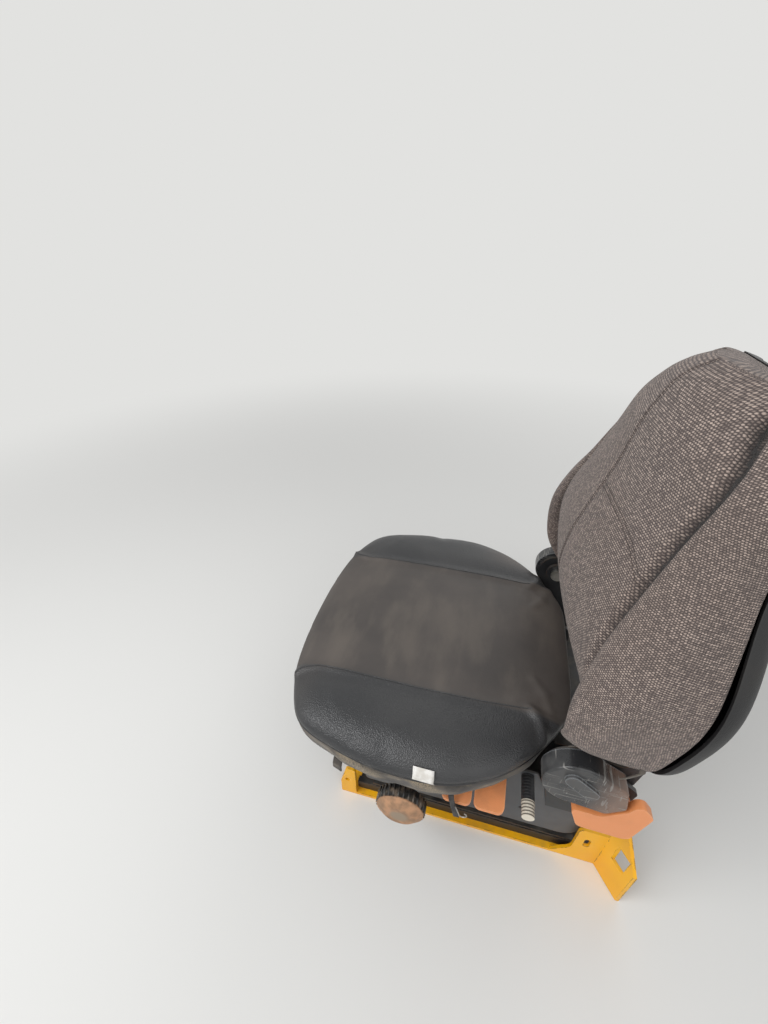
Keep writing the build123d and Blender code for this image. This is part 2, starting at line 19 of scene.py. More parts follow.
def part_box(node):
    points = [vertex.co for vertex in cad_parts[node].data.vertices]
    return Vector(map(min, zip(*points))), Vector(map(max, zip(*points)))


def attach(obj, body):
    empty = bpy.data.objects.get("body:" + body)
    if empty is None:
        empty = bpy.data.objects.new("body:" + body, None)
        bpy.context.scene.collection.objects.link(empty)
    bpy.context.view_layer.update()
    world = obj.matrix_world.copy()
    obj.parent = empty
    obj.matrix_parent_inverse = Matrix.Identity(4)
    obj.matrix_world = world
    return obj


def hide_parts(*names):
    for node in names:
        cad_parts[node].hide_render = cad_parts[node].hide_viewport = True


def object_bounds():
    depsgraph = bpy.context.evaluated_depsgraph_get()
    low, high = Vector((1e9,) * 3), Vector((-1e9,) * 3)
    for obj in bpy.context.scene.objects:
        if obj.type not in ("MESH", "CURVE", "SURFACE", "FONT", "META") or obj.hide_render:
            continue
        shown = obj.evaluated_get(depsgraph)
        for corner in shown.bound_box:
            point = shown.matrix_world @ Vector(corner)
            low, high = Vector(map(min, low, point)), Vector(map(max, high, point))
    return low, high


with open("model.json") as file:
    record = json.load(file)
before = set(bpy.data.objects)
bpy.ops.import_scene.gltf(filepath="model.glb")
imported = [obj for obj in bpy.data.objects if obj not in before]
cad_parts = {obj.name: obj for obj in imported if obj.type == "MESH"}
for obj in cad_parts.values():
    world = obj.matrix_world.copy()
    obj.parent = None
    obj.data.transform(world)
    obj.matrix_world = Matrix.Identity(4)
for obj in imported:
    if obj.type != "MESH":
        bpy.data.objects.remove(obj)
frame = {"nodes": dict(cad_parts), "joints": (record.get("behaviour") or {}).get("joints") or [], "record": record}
nodes = frame["nodes"]
cad_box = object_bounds()
print("CAD nodes:", len(nodes), "size:", [round(b - a, 3) for a, b in zip(*cad_box)])

# %% [markdown]
# The photograph was taken from outside the door, a little above the seat, with a wide lens. The camera is
# placed by three directions: its right, its up and its back. These came from straight edges in the
# picture, and the lens follows from the picture's height in pixels.

# %% The camera
picture_height = 1024
focal_pixels = 440
sensor = 36.0
camera_place = Vector((0.060, 0.524, 0.855))
camera_right = Vector((-0.96588, -0.25898, -0.00126))
camera_up = Vector((0.14294, -0.53717, 0.83127))
camera_back = Vector((-0.21596, 0.80273, 0.55587))

camera_data = bpy.data.cameras.new("camera")
camera_data.sensor_width = sensor
camera_data.lens = focal_pixels / picture_height * sensor
camera_data.clip_start = 0.01
camera = bpy.data.objects.new("camera", camera_data)
camera_turn = Matrix((camera_right, camera_up, camera_back)).transposed()
camera.matrix_world = Matrix.Translation(camera_place) @ camera_turn.to_4x4()
bpy.context.scene.collection.objects.link(camera)
bpy.context.scene.camera = camera
print("lens", round(camera_data.lens, 2), "mm, back of the camera", [round(x, 3) for x in camera_back])

# %% [markdown]
# A plain studio: a pale floor, one large soft lamp where the daylight came from, one weak lamp opposite
# and an even sky. Together they light a surface to about the value its colour is written with.

# %% Studio
scene = bpy.context.scene
scene.view_settings.view_transform = "Standard"
seat_middle = Vector((0.03, 0.0, 0.33))


def lamp(name, place, size, power):
    """A square soft lamp that looks at the middle of the seat."""
    data = bpy.data.lights.new(name, "AREA")
    data.size = size
    data.energy = power
    holder = bpy.data.objects.new(name, data)
    holder.location = place
    holder.rotation_mode = "QUATERNION"
    holder.rotation_quaternion = (seat_middle - Vector(place)).to_track_quat("-Z", "Y")
    scene.collection.objects.link(holder)
    return holder


lamps = [
    lamp("key", (1.30, 1.10, 1.90), size=1.3, power=34),
    lamp("fill", (-0.90, 1.50, 1.30), size=1.8, power=9),
    lamp("back", (-0.60, -1.70, 1.50), size=1.8, power=8),
]
scene.world = bpy.data.worlds.new("sky")
scene.world.use_nodes = True

floor_mesh = bpy.data.meshes.new("floor")
floor_reach = 6.0
floor_gap = 0.0005
floor_corners = [(x * floor_reach, y * floor_reach) for x, y in ((-1, -1), (1, -1), (1, 1), (-1, 1))]
floor_mesh.from_pydata([(x, y, cad_box[0].z - floor_gap) for x, y in floor_corners], [], [(0, 1, 2, 3)])
floor = bpy.data.objects.new("floor", floor_mesh)
scene.collection.objects.link(floor)
print("lamps:", [(l.name, l.data.energy) for l in lamps])

# %% [markdown]
# A finish is a formula: this much of one colour, where that mask is high. Two small classes let the
# script write it so. `Wire` is one socket and knows sums, and `Recipe` is one material and adds nodes.

# %% Formulas for materials


class Wire:
    """One socket of a material, which can stand in a sum."""

    def __init__(self, recipe, socket):
        self.recipe = recipe
        self.socket = socket

    def maths(self, operation, *values):
        return self.recipe.node("ShaderNodeMath", {"operation": operation}, dict(enumerate(values)))

    def __add__(self, other):
        return self.maths("ADD", self, other)

    __radd__ = __add__

    def __mul__(self, other):
        return self.maths("MULTIPLY", self, other)

    __rmul__ = __mul__

    def __sub__(self, other):
        return self.maths("SUBTRACT", self, other)

    def __rsub__(self, other):
        return self.maths("SUBTRACT", other, self)

    def __truediv__(self, other):
        return self.maths("DIVIDE", self, other)

    def __mod__(self, other):
        return self.maths("FLOORED_MODULO", self, other)

    def floor(self):
        return self.maths("FLOOR", self)

    def absolute(self):
        return self.maths("ABSOLUTE", self)

    def between(self, low, high):
        """0 below low, 1 above high, and a soft step from one to the other."""
        settings = {"interpolation_type": "SMOOTHSTEP"}
        return self.recipe.node("ShaderNodeMapRange", settings, {0: self, 1: low, 2: high})


class Recipe:
    """One material, or the sky where its tree is given, written node by node."""

    def __init__(self, name, tree=None):
        self.material = None if tree else bpy.data.materials.new(name)
        if self.material:
            self.material.use_nodes = True
        self.tree = tree or self.material.node_tree
        self.tree.nodes.clear()
        self.place = self.node("ShaderNodeTexCoord", output="Object")

    def node(self, kind, settings=None, inputs=None, output=0):
        made = self.tree.nodes.new(kind)
        for key, value in (settings or {}).items():
            setattr(made, key, value)
        for key, value in (inputs or {}).items():
            if isinstance(value, Wire):
                self.tree.links.new(value.socket, made.inputs[key])
            else:
                made.inputs[key].default_value = value
        return Wire(self, made.outputs[output])

    def noise(self, scale, detail=3.0, where=None):
        inputs = {"Vector": where or self.place, "Scale": scale, "Detail": detail}
        return self.node("ShaderNodeTexNoise", {}, inputs)

    def stretched(self, x, y, z):
        """Object coordinates, stretched to turn spots into streaks."""
        return self.node("ShaderNodeMapping", {}, {"Vector": self.place, "Scale": (x, y, z)})

    def axis(self, vector, name):
        return self.node("ShaderNodeSeparateXYZ", {}, {0: vector}, output=name)

    def mix(self, mask, first, second):
        """First where the mask is 0 and second where it is 1."""
        return self.node("ShaderNodeMix", {"data_type": "RGBA"}, {0: mask, 6: first, 7: second}, output=2)

    def edges(self, radius):
        """High where the surface turns a corner."""
        flat = self.node("ShaderNodeNewGeometry", output="Normal")
        rounded = self.node("ShaderNodeBevel", {"samples": 4}, {"Radius": radius})
        settings = {"operation": "DOT_PRODUCT"}
        return 1 - self.node("ShaderNodeVectorMath", settings, {0: flat, 1: rounded}, "Value")

    def upward(self):
        """High where the surface looks up and dust can lie."""
        facing = self.node("ShaderNodeNewGeometry", output="Normal")
        return self.axis(facing, "Z").between(0.35, 0.95)

    def seen(self):
        """1 for what the camera sees, itself or in a mirror or through glass, and 0 for plain light."""
        ways = ("Is Camera Ray", "Is Glossy Ray", "Is Transmission Ray")
        camera_way, glossy_way, clear_way = [self.node("ShaderNodeLightPath", output=way) for way in ways]
        return camera_way + glossy_way + clear_way

    def close(self, shader, kind="ShaderNodeOutputMaterial"):
        end = self.tree.nodes.new(kind)
        self.tree.links.new(shader.socket, end.inputs["Surface"])
        return self.material

    def finish(self, colour, roughness, metallic=0.0, height=None, depth=0.0002, sheen=0.0):
        """Closes the material: colour, roughness and, where given, a relief of that depth in metres."""
        inputs = {"Base Color": colour, "Roughness": roughness, "Metallic": metallic, "Sheen Weight": sheen}
        if height is not None:
            relief = {"Height": height, "Distance": depth, "Strength": 1.0}
            inputs["Normal"] = self.node("ShaderNodeBump", {}, relief)
        return self.close(self.node("ShaderNodeBsdfPrincipled", {}, inputs))


def paint(red, green, blue):
    """A colour read as a screen shows it, 0 to 255, turned into light."""
    shares = [c / 255 for c in (red, green, blue)]
    light = [s / 12.92 if s <= 0.04045 else ((s + 0.055) / 1.055) ** 2.4 for s in shares]
    return (*light, 1.0)


print("a middle grey is", [round(c, 3) for c in paint(128, 128, 128)[:3]])

# %% [markdown]
# The floor is plain, pale and matt, so that the dark seat stands out and its shadow stays soft. Away from
# the seat it fades into one even tone, which the sky shows too, so no horizon is seen. That tone is only
# what the camera sees, and lights nothing.

# %% The floor's finish and the sky
backdrop_tone = paint(226, 226, 224)
pale = Recipe("studio_floor")
from_seat = pale.node("ShaderNodeVectorMath", {"operation": "LENGTH"}, {0: pale.place}, "Value")
away = from_seat.between(0.9, 2.6)
lit_floor = pale.node("ShaderNodeBsdfPrincipled", {}, {"Base Color": backdrop_tone, "Roughness": 0.9})
even_tone = pale.node("ShaderNodeEmission", {}, {"Color": backdrop_tone})
floor_mesh.materials.append(
    pale.close(pale.node("ShaderNodeMixShader", {}, {0: away * pale.seen(), 1: lit_floor, 2: even_tone}))
)

sky = Recipe("sky", scene.world.node_tree)
daylight = sky.node("ShaderNodeBackground", {}, {"Color": (1, 1, 1, 1), "Strength": 0.42})
shown_sky = sky.node("ShaderNodeBackground", {}, {"Color": backdrop_tone, "Strength": 1.0})
both_skies = sky.node("ShaderNodeMixShader", {}, {0: sky.seen(), 1: daylight, 2: shown_sky})
sky.close(both_skies, "ShaderNodeOutputWorld")
print("the backdrop's light:", round(backdrop_tone[0], 3))

# %% [markdown]
# Painted steel. Paint wears where corners are rubbed, so the chips follow the edges, broken up by noise,
# and show brown-grey steel. Years of boots leave a dry dust on whatever looks up. One function makes the
# yellow, black and grey coats.

# %% Painted steel


def painted(name, coat, faded, dust, wear, gloss, dust_share):
    """Paint in two close shades, chipped at the edges to bare steel and dusted from above."""
    recipe = Recipe(name)
    patches = recipe.noise(9, 4).between(0.35, 0.7)
    colour = recipe.mix(patches, coat, faded)
    flecks = recipe.noise(260, 5)
    blotches = recipe.noise(38, 6)
    rubbed = recipe.edges(0.0030) * 3.0 * recipe.noise(48, 3).between(0.40, 0.62)
    chips = (rubbed + (flecks - 0.5) * 1.1 + (blotches - 0.60) * 1.3 * wear).between(0.36, 0.46)
    colour = recipe.mix(chips, colour, recipe.mix(flecks, paint(40, 34, 30), paint(112, 74, 44)))
    settled = recipe.upward() * recipe.noise(55, 6).between(0.3, 0.75) * dust_share
    colour = recipe.mix(settled, colour, dust)
    rough = chips * 0.25 + settled * 0.35 + recipe.noise(70, 2) * 0.12 + gloss
    relief = recipe.noise(420, 2) * 0.3 - chips
    return recipe.finish(colour, rough, height=relief, depth=0.00012)


yellow = painted("yellow_paint", paint(248, 184, 8), paint(240, 170, 16), paint(132, 108, 66),
                 wear=1.0, gloss=0.3, dust_share=0.35)
black = painted("black_paint", paint(30, 31, 33), paint(42, 42, 44), paint(98, 92, 82),
                wear=0.7, gloss=0.36, dust_share=0.5)
grey = painted("grey_paint", paint(88, 90, 93), paint(74, 76, 79), paint(128, 122, 110),
               wear=0.6, gloss=0.4, dust_share=0.45)
print("painted finishes:", [m.name for m in (yellow, black, grey)])

# %% [markdown]
# Bare steel: pins, rods and shafts are turned and keep fine rings. Bolt heads are darker, with grease and
# dirt in streaks.

# %% Bare steel


def bare_steel(name, light, dark, streak, roughness):
    """Turned or rolled metal: fine streaks, and darker where grease and dirt stay."""
    recipe = Recipe(name)
    streaks = recipe.noise(1, 3, recipe.stretched(*streak))
    dirt = recipe.noise(30, 6).between(0.45, 0.75)
    colour = recipe.mix(streaks, dark, light)
    colour = recipe.mix(dirt * 0.6, colour, paint(74, 62, 50))
    rough = streaks * 0.15 + dirt * 0.3 + roughness
    return recipe.finish(colour, rough, metallic=1 - dirt * 0.7, height=streaks, depth=0.00008)


bright = bare_steel("bright_steel", paint(200, 198, 192), paint(150, 148, 142), (300, 1600, 300), 0.24)
dark = bare_steel("dark_steel", paint(120, 118, 114), paint(78, 76, 74), (40, 900, 900), 0.38)
print("bare metals:", bright.name, dark.name)

# %% [markdown]
# Plastics and rubber. Moulded plastic has a fine leather-like grain that rubs smooth and grey on corners.
# The recliner covers are scratched all over, and greasy and brown towards the rear.

# %% Plastics and rubber


def moulded(name, base, worn, dust, grain, gloss, dust_share=0.4):
    """Plastic with a fine grain, paler where it is rubbed and dusty from above."""
    recipe = Recipe(name)
    pebbles = recipe.node("ShaderNodeTexVoronoi", {}, {"Vector": recipe.place, "Scale": grain})
    rubbed = (recipe.edges(0.003) * 2.5 + (recipe.noise(60, 5) - 0.5) * 0.8).between(0.25, 0.7)
    colour = recipe.mix(rubbed * 0.7, base, worn)
    settled = recipe.upward() * recipe.noise(45, 6).between(0.35, 0.7) * dust_share
    smudges = recipe.noise(14, 5).between(0.5, 0.8) * 0.35
    colour = recipe.mix(settled + smudges, colour, dust)
    rough = settled * 0.3 + smudges * 0.3 + gloss
    return recipe.finish(colour, rough, height=pebbles, depth=0.00015)


orange = moulded("orange_plastic", paint(232, 148, 92), paint(244, 182, 136), paint(180, 116, 74),
                 grain=900, gloss=0.4, dust_share=0.3)
shell_black = moulded("black_plastic", paint(18, 18, 20), paint(46, 45, 44), paint(62, 57, 51),
                      grain=700, gloss=0.52)
rubber = moulded("black_rubber", paint(26, 26, 27), paint(52, 51, 50), paint(84, 78, 70),
                 grain=500, gloss=0.62, dust_share=0.5)

cover_plastic = Recipe("grey_plastic")
scuffs = cover_plastic.noise(26, 6).between(0.42, 0.68)
rearward = cover_plastic.axis(cover_plastic.place, "X").between(-0.108, -0.150)
greasy = cover_plastic.noise(18, 5).between(0.3, 0.7)
cover_colour = cover_plastic.mix(scuffs, paint(40, 41, 43), paint(74, 74, 74))
cover_colour = cover_plastic.mix(rearward * (greasy * 0.5 + 0.5) * 0.9, cover_colour, paint(142, 112, 94))
long_scratch = cover_plastic.noise(1, 6, cover_plastic.stretched(22, 22, 430)).between(0.60, 0.66)
steep_scratch = cover_plastic.noise(1, 6, cover_plastic.stretched(390, 22, 40)).between(0.61, 0.67)
cover_colour = cover_plastic.mix((long_scratch + steep_scratch) * 0.55, cover_colour, paint(152, 150, 146))
rubbed_rim = (cover_plastic.edges(0.003) * 3 + (scuffs - 0.5) * 0.3).between(0.2, 0.7)
cover_colour = cover_plastic.mix(rubbed_rim * 0.75, cover_colour, paint(150, 154, 158))
cover_relief = cover_plastic.noise(500, 3) * 0.5 - long_scratch - steep_scratch
cover_grey = cover_plastic.finish(cover_colour, scuffs * 0.2 + 0.26, height=cover_relief, depth=0.0001)
print("plastics:", [m.name for m in (orange, shell_black, rubber, cover_grey)])

# %% [markdown]
# The knob is one moulding in two looks: black ribs round it, and a face that hands and mud have turned
# orange-brown. The face looks away from the seat, so the place along the knob's own axis splits the two.

# %% The knob's finish
knob_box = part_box("weight_knob")
knob_middle = (knob_box[0] + knob_box[1]) / 2
knob_finish = Recipe("knob_plastic")
outward = knob_finish.axis(knob_finish.place, "Y")
rim_depth = 0.0175
face_starts = knob_box[0].y + rim_depth
face_mask = (outward + (knob_finish.noise(120, 4) - 0.5) * 0.002).between(face_starts, face_starts + 0.0016)
mud = knob_finish.noise(75, 7).between(0.35, 0.68)
face_colour = knob_finish.mix(mud, paint(184, 140, 106), paint(142, 112, 86))
hub = knob_finish.node("ShaderNodeVectorMath", {"operation": "DISTANCE"},
                       {0: knob_finish.place, 1: (knob_middle.x, knob_box[1].y, knob_middle.z)}, "Value")
face_colour = knob_finish.mix(1 - hub.between(0.009, 0.016), face_colour, paint(150, 132, 112))
rib_dust = knob_finish.noise(90, 4).between(0.4, 0.7)
rib_colour = knob_finish.mix(rib_dust, paint(34, 33, 32), paint(112, 98, 84))
knob_colour = knob_finish.mix(face_mask, rib_colour, face_colour)
knob_plastic = knob_finish.finish(knob_colour, face_mask * 0.15 + 0.45, height=mud, depth=0.0002)
print("knob face starts at y =", round(face_starts, 4))

# %% [markdown]
# The cushion's cover is grained vinyl. The bolsters keep their pebble grain and shine a little. The middle
# is worn smooth, matt and dusty. One point attribute, `worn`, says how far each place has got.

# %% The cushion's vinyl
vinyl_recipe = Recipe("seat_vinyl")
worn = vinyl_recipe.node("ShaderNodeAttribute", {"attribute_name": "worn"}, output="Fac")
pebble = vinyl_recipe.node("ShaderNodeTexVoronoi", {"feature": "SMOOTH_F1"},
                           {"Vector": vinyl_recipe.place, "Scale": 640, "Smoothness": 0.35})
clouds = vinyl_recipe.noise(7, 5)
rubs = vinyl_recipe.noise(1, 4, vinyl_recipe.stretched(26, 9, 9)).between(0.42, 0.7)
fresh = vinyl_recipe.mix(clouds.between(0.35, 0.7), paint(47, 48, 50), paint(60, 60, 61))
tired = vinyl_recipe.mix(clouds.between(0.3, 0.7), paint(66, 62, 60), paint(84, 78, 74))
tired = vinyl_recipe.mix(rubs * 0.5, tired, paint(100, 93, 86))
vinyl_colour = vinyl_recipe.mix(worn, fresh, tired)
rear_dust = (vinyl_recipe.axis(vinyl_recipe.place, "Y").between(-0.15, -0.24)
             * vinyl_recipe.axis(vinyl_recipe.place, "X").between(0.06, -0.06) * clouds.between(0.3, 0.6))
vinyl_colour = vinyl_recipe.mix(rear_dust * 0.5, vinyl_colour, paint(128, 92, 64))
vinyl_rough = worn * 0.2 + clouds * 0.1 + 0.3
vinyl_relief = pebble * (1.15 - worn) + vinyl_recipe.noise(900, 2) * 0.2
vinyl = vinyl_recipe.finish(vinyl_colour, vinyl_rough, height=vinyl_relief, depth=0.00045)

band_recipe = Recipe("band_cloth")
stain = band_recipe.noise(22, 6).between(0.38, 0.66)
fibres = band_recipe.noise(1, 2, band_recipe.stretched(900, 900, 260))
band_colour = band_recipe.mix(stain, paint(52, 49, 47), paint(104, 95, 84))
pale_patch = band_recipe.noise(16, 5).between(0.48, 0.62) * fibres.between(0.2, 0.7)
band_colour = band_recipe.mix(pale_patch * 0.8, band_colour, paint(166, 150, 124))
band_cloth = band_recipe.finish(band_colour, 0.85, height=fibres, depth=0.0003, sheen=0.1)
print("cushion cover:", vinyl.name, "and", band_cloth.name)

# %% [markdown]
# The backrest is woven. Light nubs stand in rows like bricks on a dark ground, two to three millimetres
# apart, and no two are equally bright. The pattern is worked out from a `weave` attribute. It holds the
# distance along the cloth in both directions, so the rows bend round the sides with the cloth, and how
# deep in a fold the place is, where painted shade darkens the cloth.

# %% The woven cloth
row_pitch = 0.0021
nub_pitch = 0.0025
woven = Recipe("back_fabric")
cloth_place = woven.node("ShaderNodeAttribute", {"attribute_name": "weave"}, output="Vector")
drift = woven.noise(150, 2) - 0.5
along = woven.axis(cloth_place, "X") / nub_pitch + drift * 0.7
up_cloth = woven.axis(cloth_place, "Y") / row_pitch + (woven.noise(190, 2) - 0.5) * 0.6
weave_row = up_cloth.floor()
shifted = along + weave_row * 0.5
across_nub = shifted % 1 - 0.5
up_nub = up_cloth % 1 - 0.5
cell = woven.node("ShaderNodeCombineXYZ", {}, {"X": shifted.floor(), "Y": weave_row})
lightness = woven.node("ShaderNodeTexWhiteNoise", {}, {"Vector": cell})
nub = 1 - (across_nub * across_nub * 4.4 + up_nub * up_nub * 5.0) - (1 - lightness) * 0.22
fluff = woven.noise(1300, 2)
thread = woven.mix(lightness, paint(118, 106, 101), paint(196, 178, 167))
thread = woven.mix(woven.noise(6, 4).between(0.35, 0.7) * 0.4, thread, paint(150, 131, 120))
ground = woven.mix(fluff, paint(56, 50, 50), paint(94, 83, 79))
cloth_colour = woven.mix((nub + (fluff - 0.5) * 0.9).between(-0.2, 0.8), ground, thread)
# painted shade: near each fold's line the cloth is darkened, as if shade fell in the crease
painted_fold_shade = woven.axis(cloth_place, "Z")
cloth_colour = woven.mix(painted_fold_shade * 0.9, cloth_colour, paint(30, 27, 28))
cloth_relief = nub.between(0, 0.9) + fluff * 0.35
back_cloth = woven.finish(cloth_colour, 0.9, height=cloth_relief, depth=0.0007, sheen=0.1)

thread_recipe = Recipe("sewing_thread")
ply = thread_recipe.noise(2200, 2)
thread_colour = thread_recipe.mix(ply, paint(62, 54, 52), paint(104, 93, 88))
seam_thread = thread_recipe.finish(thread_colour, 0.75, height=ply)
print("weave:", row_pitch * 1000, "mm rows,", nub_pitch * 1000, "mm nubs")

# %% [markdown]
# The side studs wear a black sleeve, and the nut on their outer end is pale, darker in the grooves between its
# rings.

# %% The stud's finish
nut_length = 0.021
ring_pitch = 0.0042
nut_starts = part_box("side_stud_left")[1].y - nut_length
stud_recipe = Recipe("side_stud")
stud_along = stud_recipe.axis(stud_recipe.place, "Y").absolute()
on_nut = stud_along.between(nut_starts, nut_starts + 0.0015)
nut_rings = (stud_along / ring_pitch % 1 - 0.5).absolute().between(0.22, 0.36)
nut_colour = stud_recipe.mix(nut_rings, paint(222, 214, 198), paint(120, 114, 104))
stud_colour = stud_recipe.mix(on_nut, paint(46, 46, 48), nut_colour)
stud_steel = stud_recipe.finish(stud_colour, on_nut * 0.1 + 0.5, height=1 - nut_rings, depth=0.0004)
print("nut from y =", round(nut_starts, 3))

# %% [markdown]
# Every CAD node takes the finish of its material slot in the record. The knob and the studs have their own.

# %% Dress the CAD nodes
finishes = {
    "yellow_paint": yellow, "black_paint": black, "grey_paint": grey, "bright_steel": bright,
    "dark_steel": dark, "black_rubber": rubber, "grey_plastic": cover_grey, "black_plastic": shell_black,
    "orange_plastic": orange, "seat_vinyl": vinyl, "back_fabric": back_cloth,
}
for subpart in frame["record"]["subparts"]:
    node = nodes[subpart["node"]]
    node.data.materials.clear()
    node.data.materials.append(finishes[subpart["material_slot"]])
nodes["weight_knob"].data.materials[0] = knob_plastic
for side_name in ("left", "right"):
    nodes["side_stud_" + side_name].data.materials[0] = stud_steel

# %% [markdown]
# Upholstery is made of rings of points, one for each level cut through a pad. The CAD solid gives its place
# and size, and a few measured rows give its form. A smooth curve runs through the rows, and points are
# spread evenly along each ring.

# %% Helpers for rings of points


def through(rows, column, wanted):
    """Values of one column of a table, on a smooth curve along its first column."""
    table = np.asarray(rows, float)
    stations, values = table[:, 0], table[:, column]
    slopes = np.gradient(values, stations)
    low = np.clip(np.searchsorted(stations, wanted) - 1, 0, len(stations) - 2)
    run = stations[low + 1] - stations[low]
    t = (wanted - stations[low]) / run
    rise = values[low] * (2 * t**3 - 3 * t**2 + 1) + values[low + 1] * (3 * t**2 - 2 * t**3)
    return rise + run * (slopes[low] * (t**3 - 2 * t**2 + t) + slopes[low + 1] * (t**3 - t**2))


def even_path(points, count, closed):
    """Count points an equal way apart along a path."""
    path = np.vstack([points, points[:1]]) if closed else np.asarray(points)
    steps = np.linalg.norm(np.diff(path, axis=0), axis=1)
    run = np.concatenate([[0.0], np.cumsum(steps)])
    wanted = np.linspace(0.0, run[-1], count, endpoint=not closed)
    return np.column_stack([np.interp(wanted, run, path[:, k]) for k in range(path.shape[1])])


def new_piece(name, points, faces, material):
    """A mesh object at the origin, smooth, in the scene."""
    mesh = bpy.data.meshes.new(name)
    mesh.from_pydata([tuple(p) for p in points], [], [tuple(f) for f in faces])
    mesh.materials.append(material)
    mesh.shade_smooth()
    made = bpy.data.objects.new(name, mesh)
    scene.collection.objects.link(made)
    return made


def points_of(thing):
    """The piece's vertices as rows of x, y, z."""
    flat = np.empty(len(thing.data.vertices) * 3, np.float32)
    thing.data.vertices.foreach_get("co", flat)
    return flat.reshape(-1, 3).astype(float)


def put_points(thing, points):
    """Moves the piece's vertices to new places."""
    thing.data.vertices.foreach_set("co", np.asarray(points, np.float32).ravel())
    thing.data.update()


def normals_of(thing):
    """The piece's vertex normals."""
    flat = np.empty(len(thing.data.vertices) * 3, np.float32)
    thing.data.vertex_normals.foreach_get("vector", flat)
    return flat.reshape(-1, 3).astype(float)


def skin_of(thing):
    """The piece's surface, ready for rays."""
    corners = [vertex.co for vertex in thing.data.vertices]
    return BVHTree.FromPolygons(corners, [polygon.vertices for polygon in thing.data.polygons])


def ring_faces(ring_count, per_ring):
    """Quads between neighbouring rings of points."""
    start = np.arange(per_ring)
    after = (start + 1) % per_ring
    quads = []
    for ring in range(ring_count - 1):
        low = ring * per_ring
        high = low + per_ring
        quads.extend(zip(low + start, low + after, high + after, high + start))
    return quads


def across_faces(first, per_ring):
    """Quads that close a ring from one side to the other, so that no point joins many edges."""
    near = np.arange(per_ring // 2)
    far = (per_ring - near) % per_ring
    return [
        tuple(dict.fromkeys((first + a, first + a + 1, first + (b - 1) % per_ring, first + b)))
        for a, b in zip(near, far)
    ]


cushion_low, cushion_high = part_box("seat_cushion")
print("the seat cushion's box:", cushion_low[:], "to", cushion_high[:])

# %% [markdown]
# Padding swells between its seams. A coarse copy of a pad is blown up with cloth pressure while its seams
# and its base are held, and the real pad takes over how far each place moved. The copy may be rough,
# because only its movement is used.

# %% Swell a pad with cloth


def swell(thing, held, reach, voxel=0.007, frames=20, neighbours=6):
    """How far each point of a pad moves when a copy of it is blown up, at most reach."""
    points = points_of(thing)
    copy = bpy.data.objects.new("swelling", thing.data.copy())
    scene.collection.objects.link(copy)
    remesh = copy.modifiers.new("coarse", "REMESH")
    remesh.mode = "VOXEL"
    remesh.voxel_size = voxel
    evaluated = copy.evaluated_get(bpy.context.evaluated_depsgraph_get())
    coarse = bpy.data.meshes.new_from_object(evaluated)
    copy.modifiers.clear()
    copy.data = coarse
    before = points_of(copy)
    group = copy.vertex_groups.new(name="held")
    group.add([int(i) for i in np.flatnonzero(held(before))], 1.0, "REPLACE")
    cloth = copy.modifiers.new("cloth", "CLOTH")
    cloth.settings.vertex_group_mass = "held"
    cloth.settings.use_pressure = True
    cloth.settings.uniform_pressure_force = 4.0
    cloth.settings.effector_weights.gravity = 0.0
    cloth.point_cache.frame_start = 1
    cloth.point_cache.frame_end = frames
    for step in range(1, frames + 1):
        scene.frame_set(step)
    blown = copy.evaluated_get(bpy.context.evaluated_depsgraph_get())
    flat = np.empty(len(before) * 3, np.float32)
    blown.data.vertices.foreach_get("co", flat)
    moved = flat.reshape(-1, 3) - before
    length = np.linalg.norm(moved, axis=1, keepdims=True)
    moved *= np.minimum(1.0, reach / np.maximum(length, 1e-9))
    bpy.data.objects.remove(copy)
    scene.frame_set(1)
    tree = KDTree(len(before))
    for index, point in enumerate(before):
        tree.insert(point, index)
    tree.balance()
    result = np.empty_like(points)
    for index, point in enumerate(points):
        near = tree.find_n(point, neighbours)
        weights = np.array([1 / (gap + 0.001) for _, _, gap in near])
        result[index] = weights @ moved[[i for _, i, _ in near]] / weights.sum()
    print("swollen:", thing.name, "by a mean of", round(length.mean() * 1000, 2), "mm")
    return result


def gap_to(path, places):
    """How far each 2-D place is from a path of points."""
    best = np.full(len(places), 1e9)
    for start, end in zip(np.asarray(path)[:-1], np.asarray(path)[1:]):
        run = end - start
        share = np.clip((places - start) @ run / (run @ run), 0, 1)
        best = np.minimum(best, np.linalg.norm(places - start - share[:, None] * run, axis=1))
    return best


def smoothed(values, low, high):
    """Soft step from 0 at low to 1 at high, on numbers."""
    share = np.clip((values - low) / (high - low), 0, 1)
    return share * share * (3 - 2 * share)


# %% [markdown]
# The seat cushion: a vinyl top with two bolsters, a thin welt all round and a band of cloth below it. Its
# plan is a polygon whose corners are rounded by averaging. Rings run from the middle of its underside, out
# under the band, up round the welt and back to the middle of the top. A formula gives the top's height.

# %% The cushion's rings
plan_rows = [(-0.106, 0.000), (-0.106, 0.108), (-0.060, 0.175), (-0.010, 0.222), (0.062, 0.2515),
             (0.166, 0.2500), (0.274, 0.222), (0.308, 0.143), (0.318, 0.060), (0.319, 0.000)]
around = 300
corner_rounding = 700
corners = np.array(plan_rows + [(x, -y) for x, y in plan_rows[-2:0:-1]])
plan = even_path(corners, 1200, closed=True)
for _ in range(corner_rounding):
    plan = (np.roll(plan, 1, 0) + 2 * plan + np.roll(plan, -1, 0)) / 4
rim = even_path(plan, around, closed=True)
print("cushion plan:", rim.min(axis=0).round(3), "to", rim.max(axis=0).round(3))
spine_inset = 0.20
spine_rear = cushion_low.x + spine_inset
spine_front = cushion_high.x - spine_inset
spine = np.column_stack([np.clip(rim[:, 0], spine_rear, spine_front), np.zeros(around)])
spoke_length = np.linalg.norm(rim - spine, axis=1)

seam_y = 0.134
near_seam = np.array([(0.309, 0.158), (0.292, 0.141), (0.267, seam_y), (0.120, seam_y + 0.002),
                      (0.025, seam_y), (-0.045, seam_y - 0.005), (-0.100, seam_y + 0.004)])
far_seam = near_seam * (1, -1)
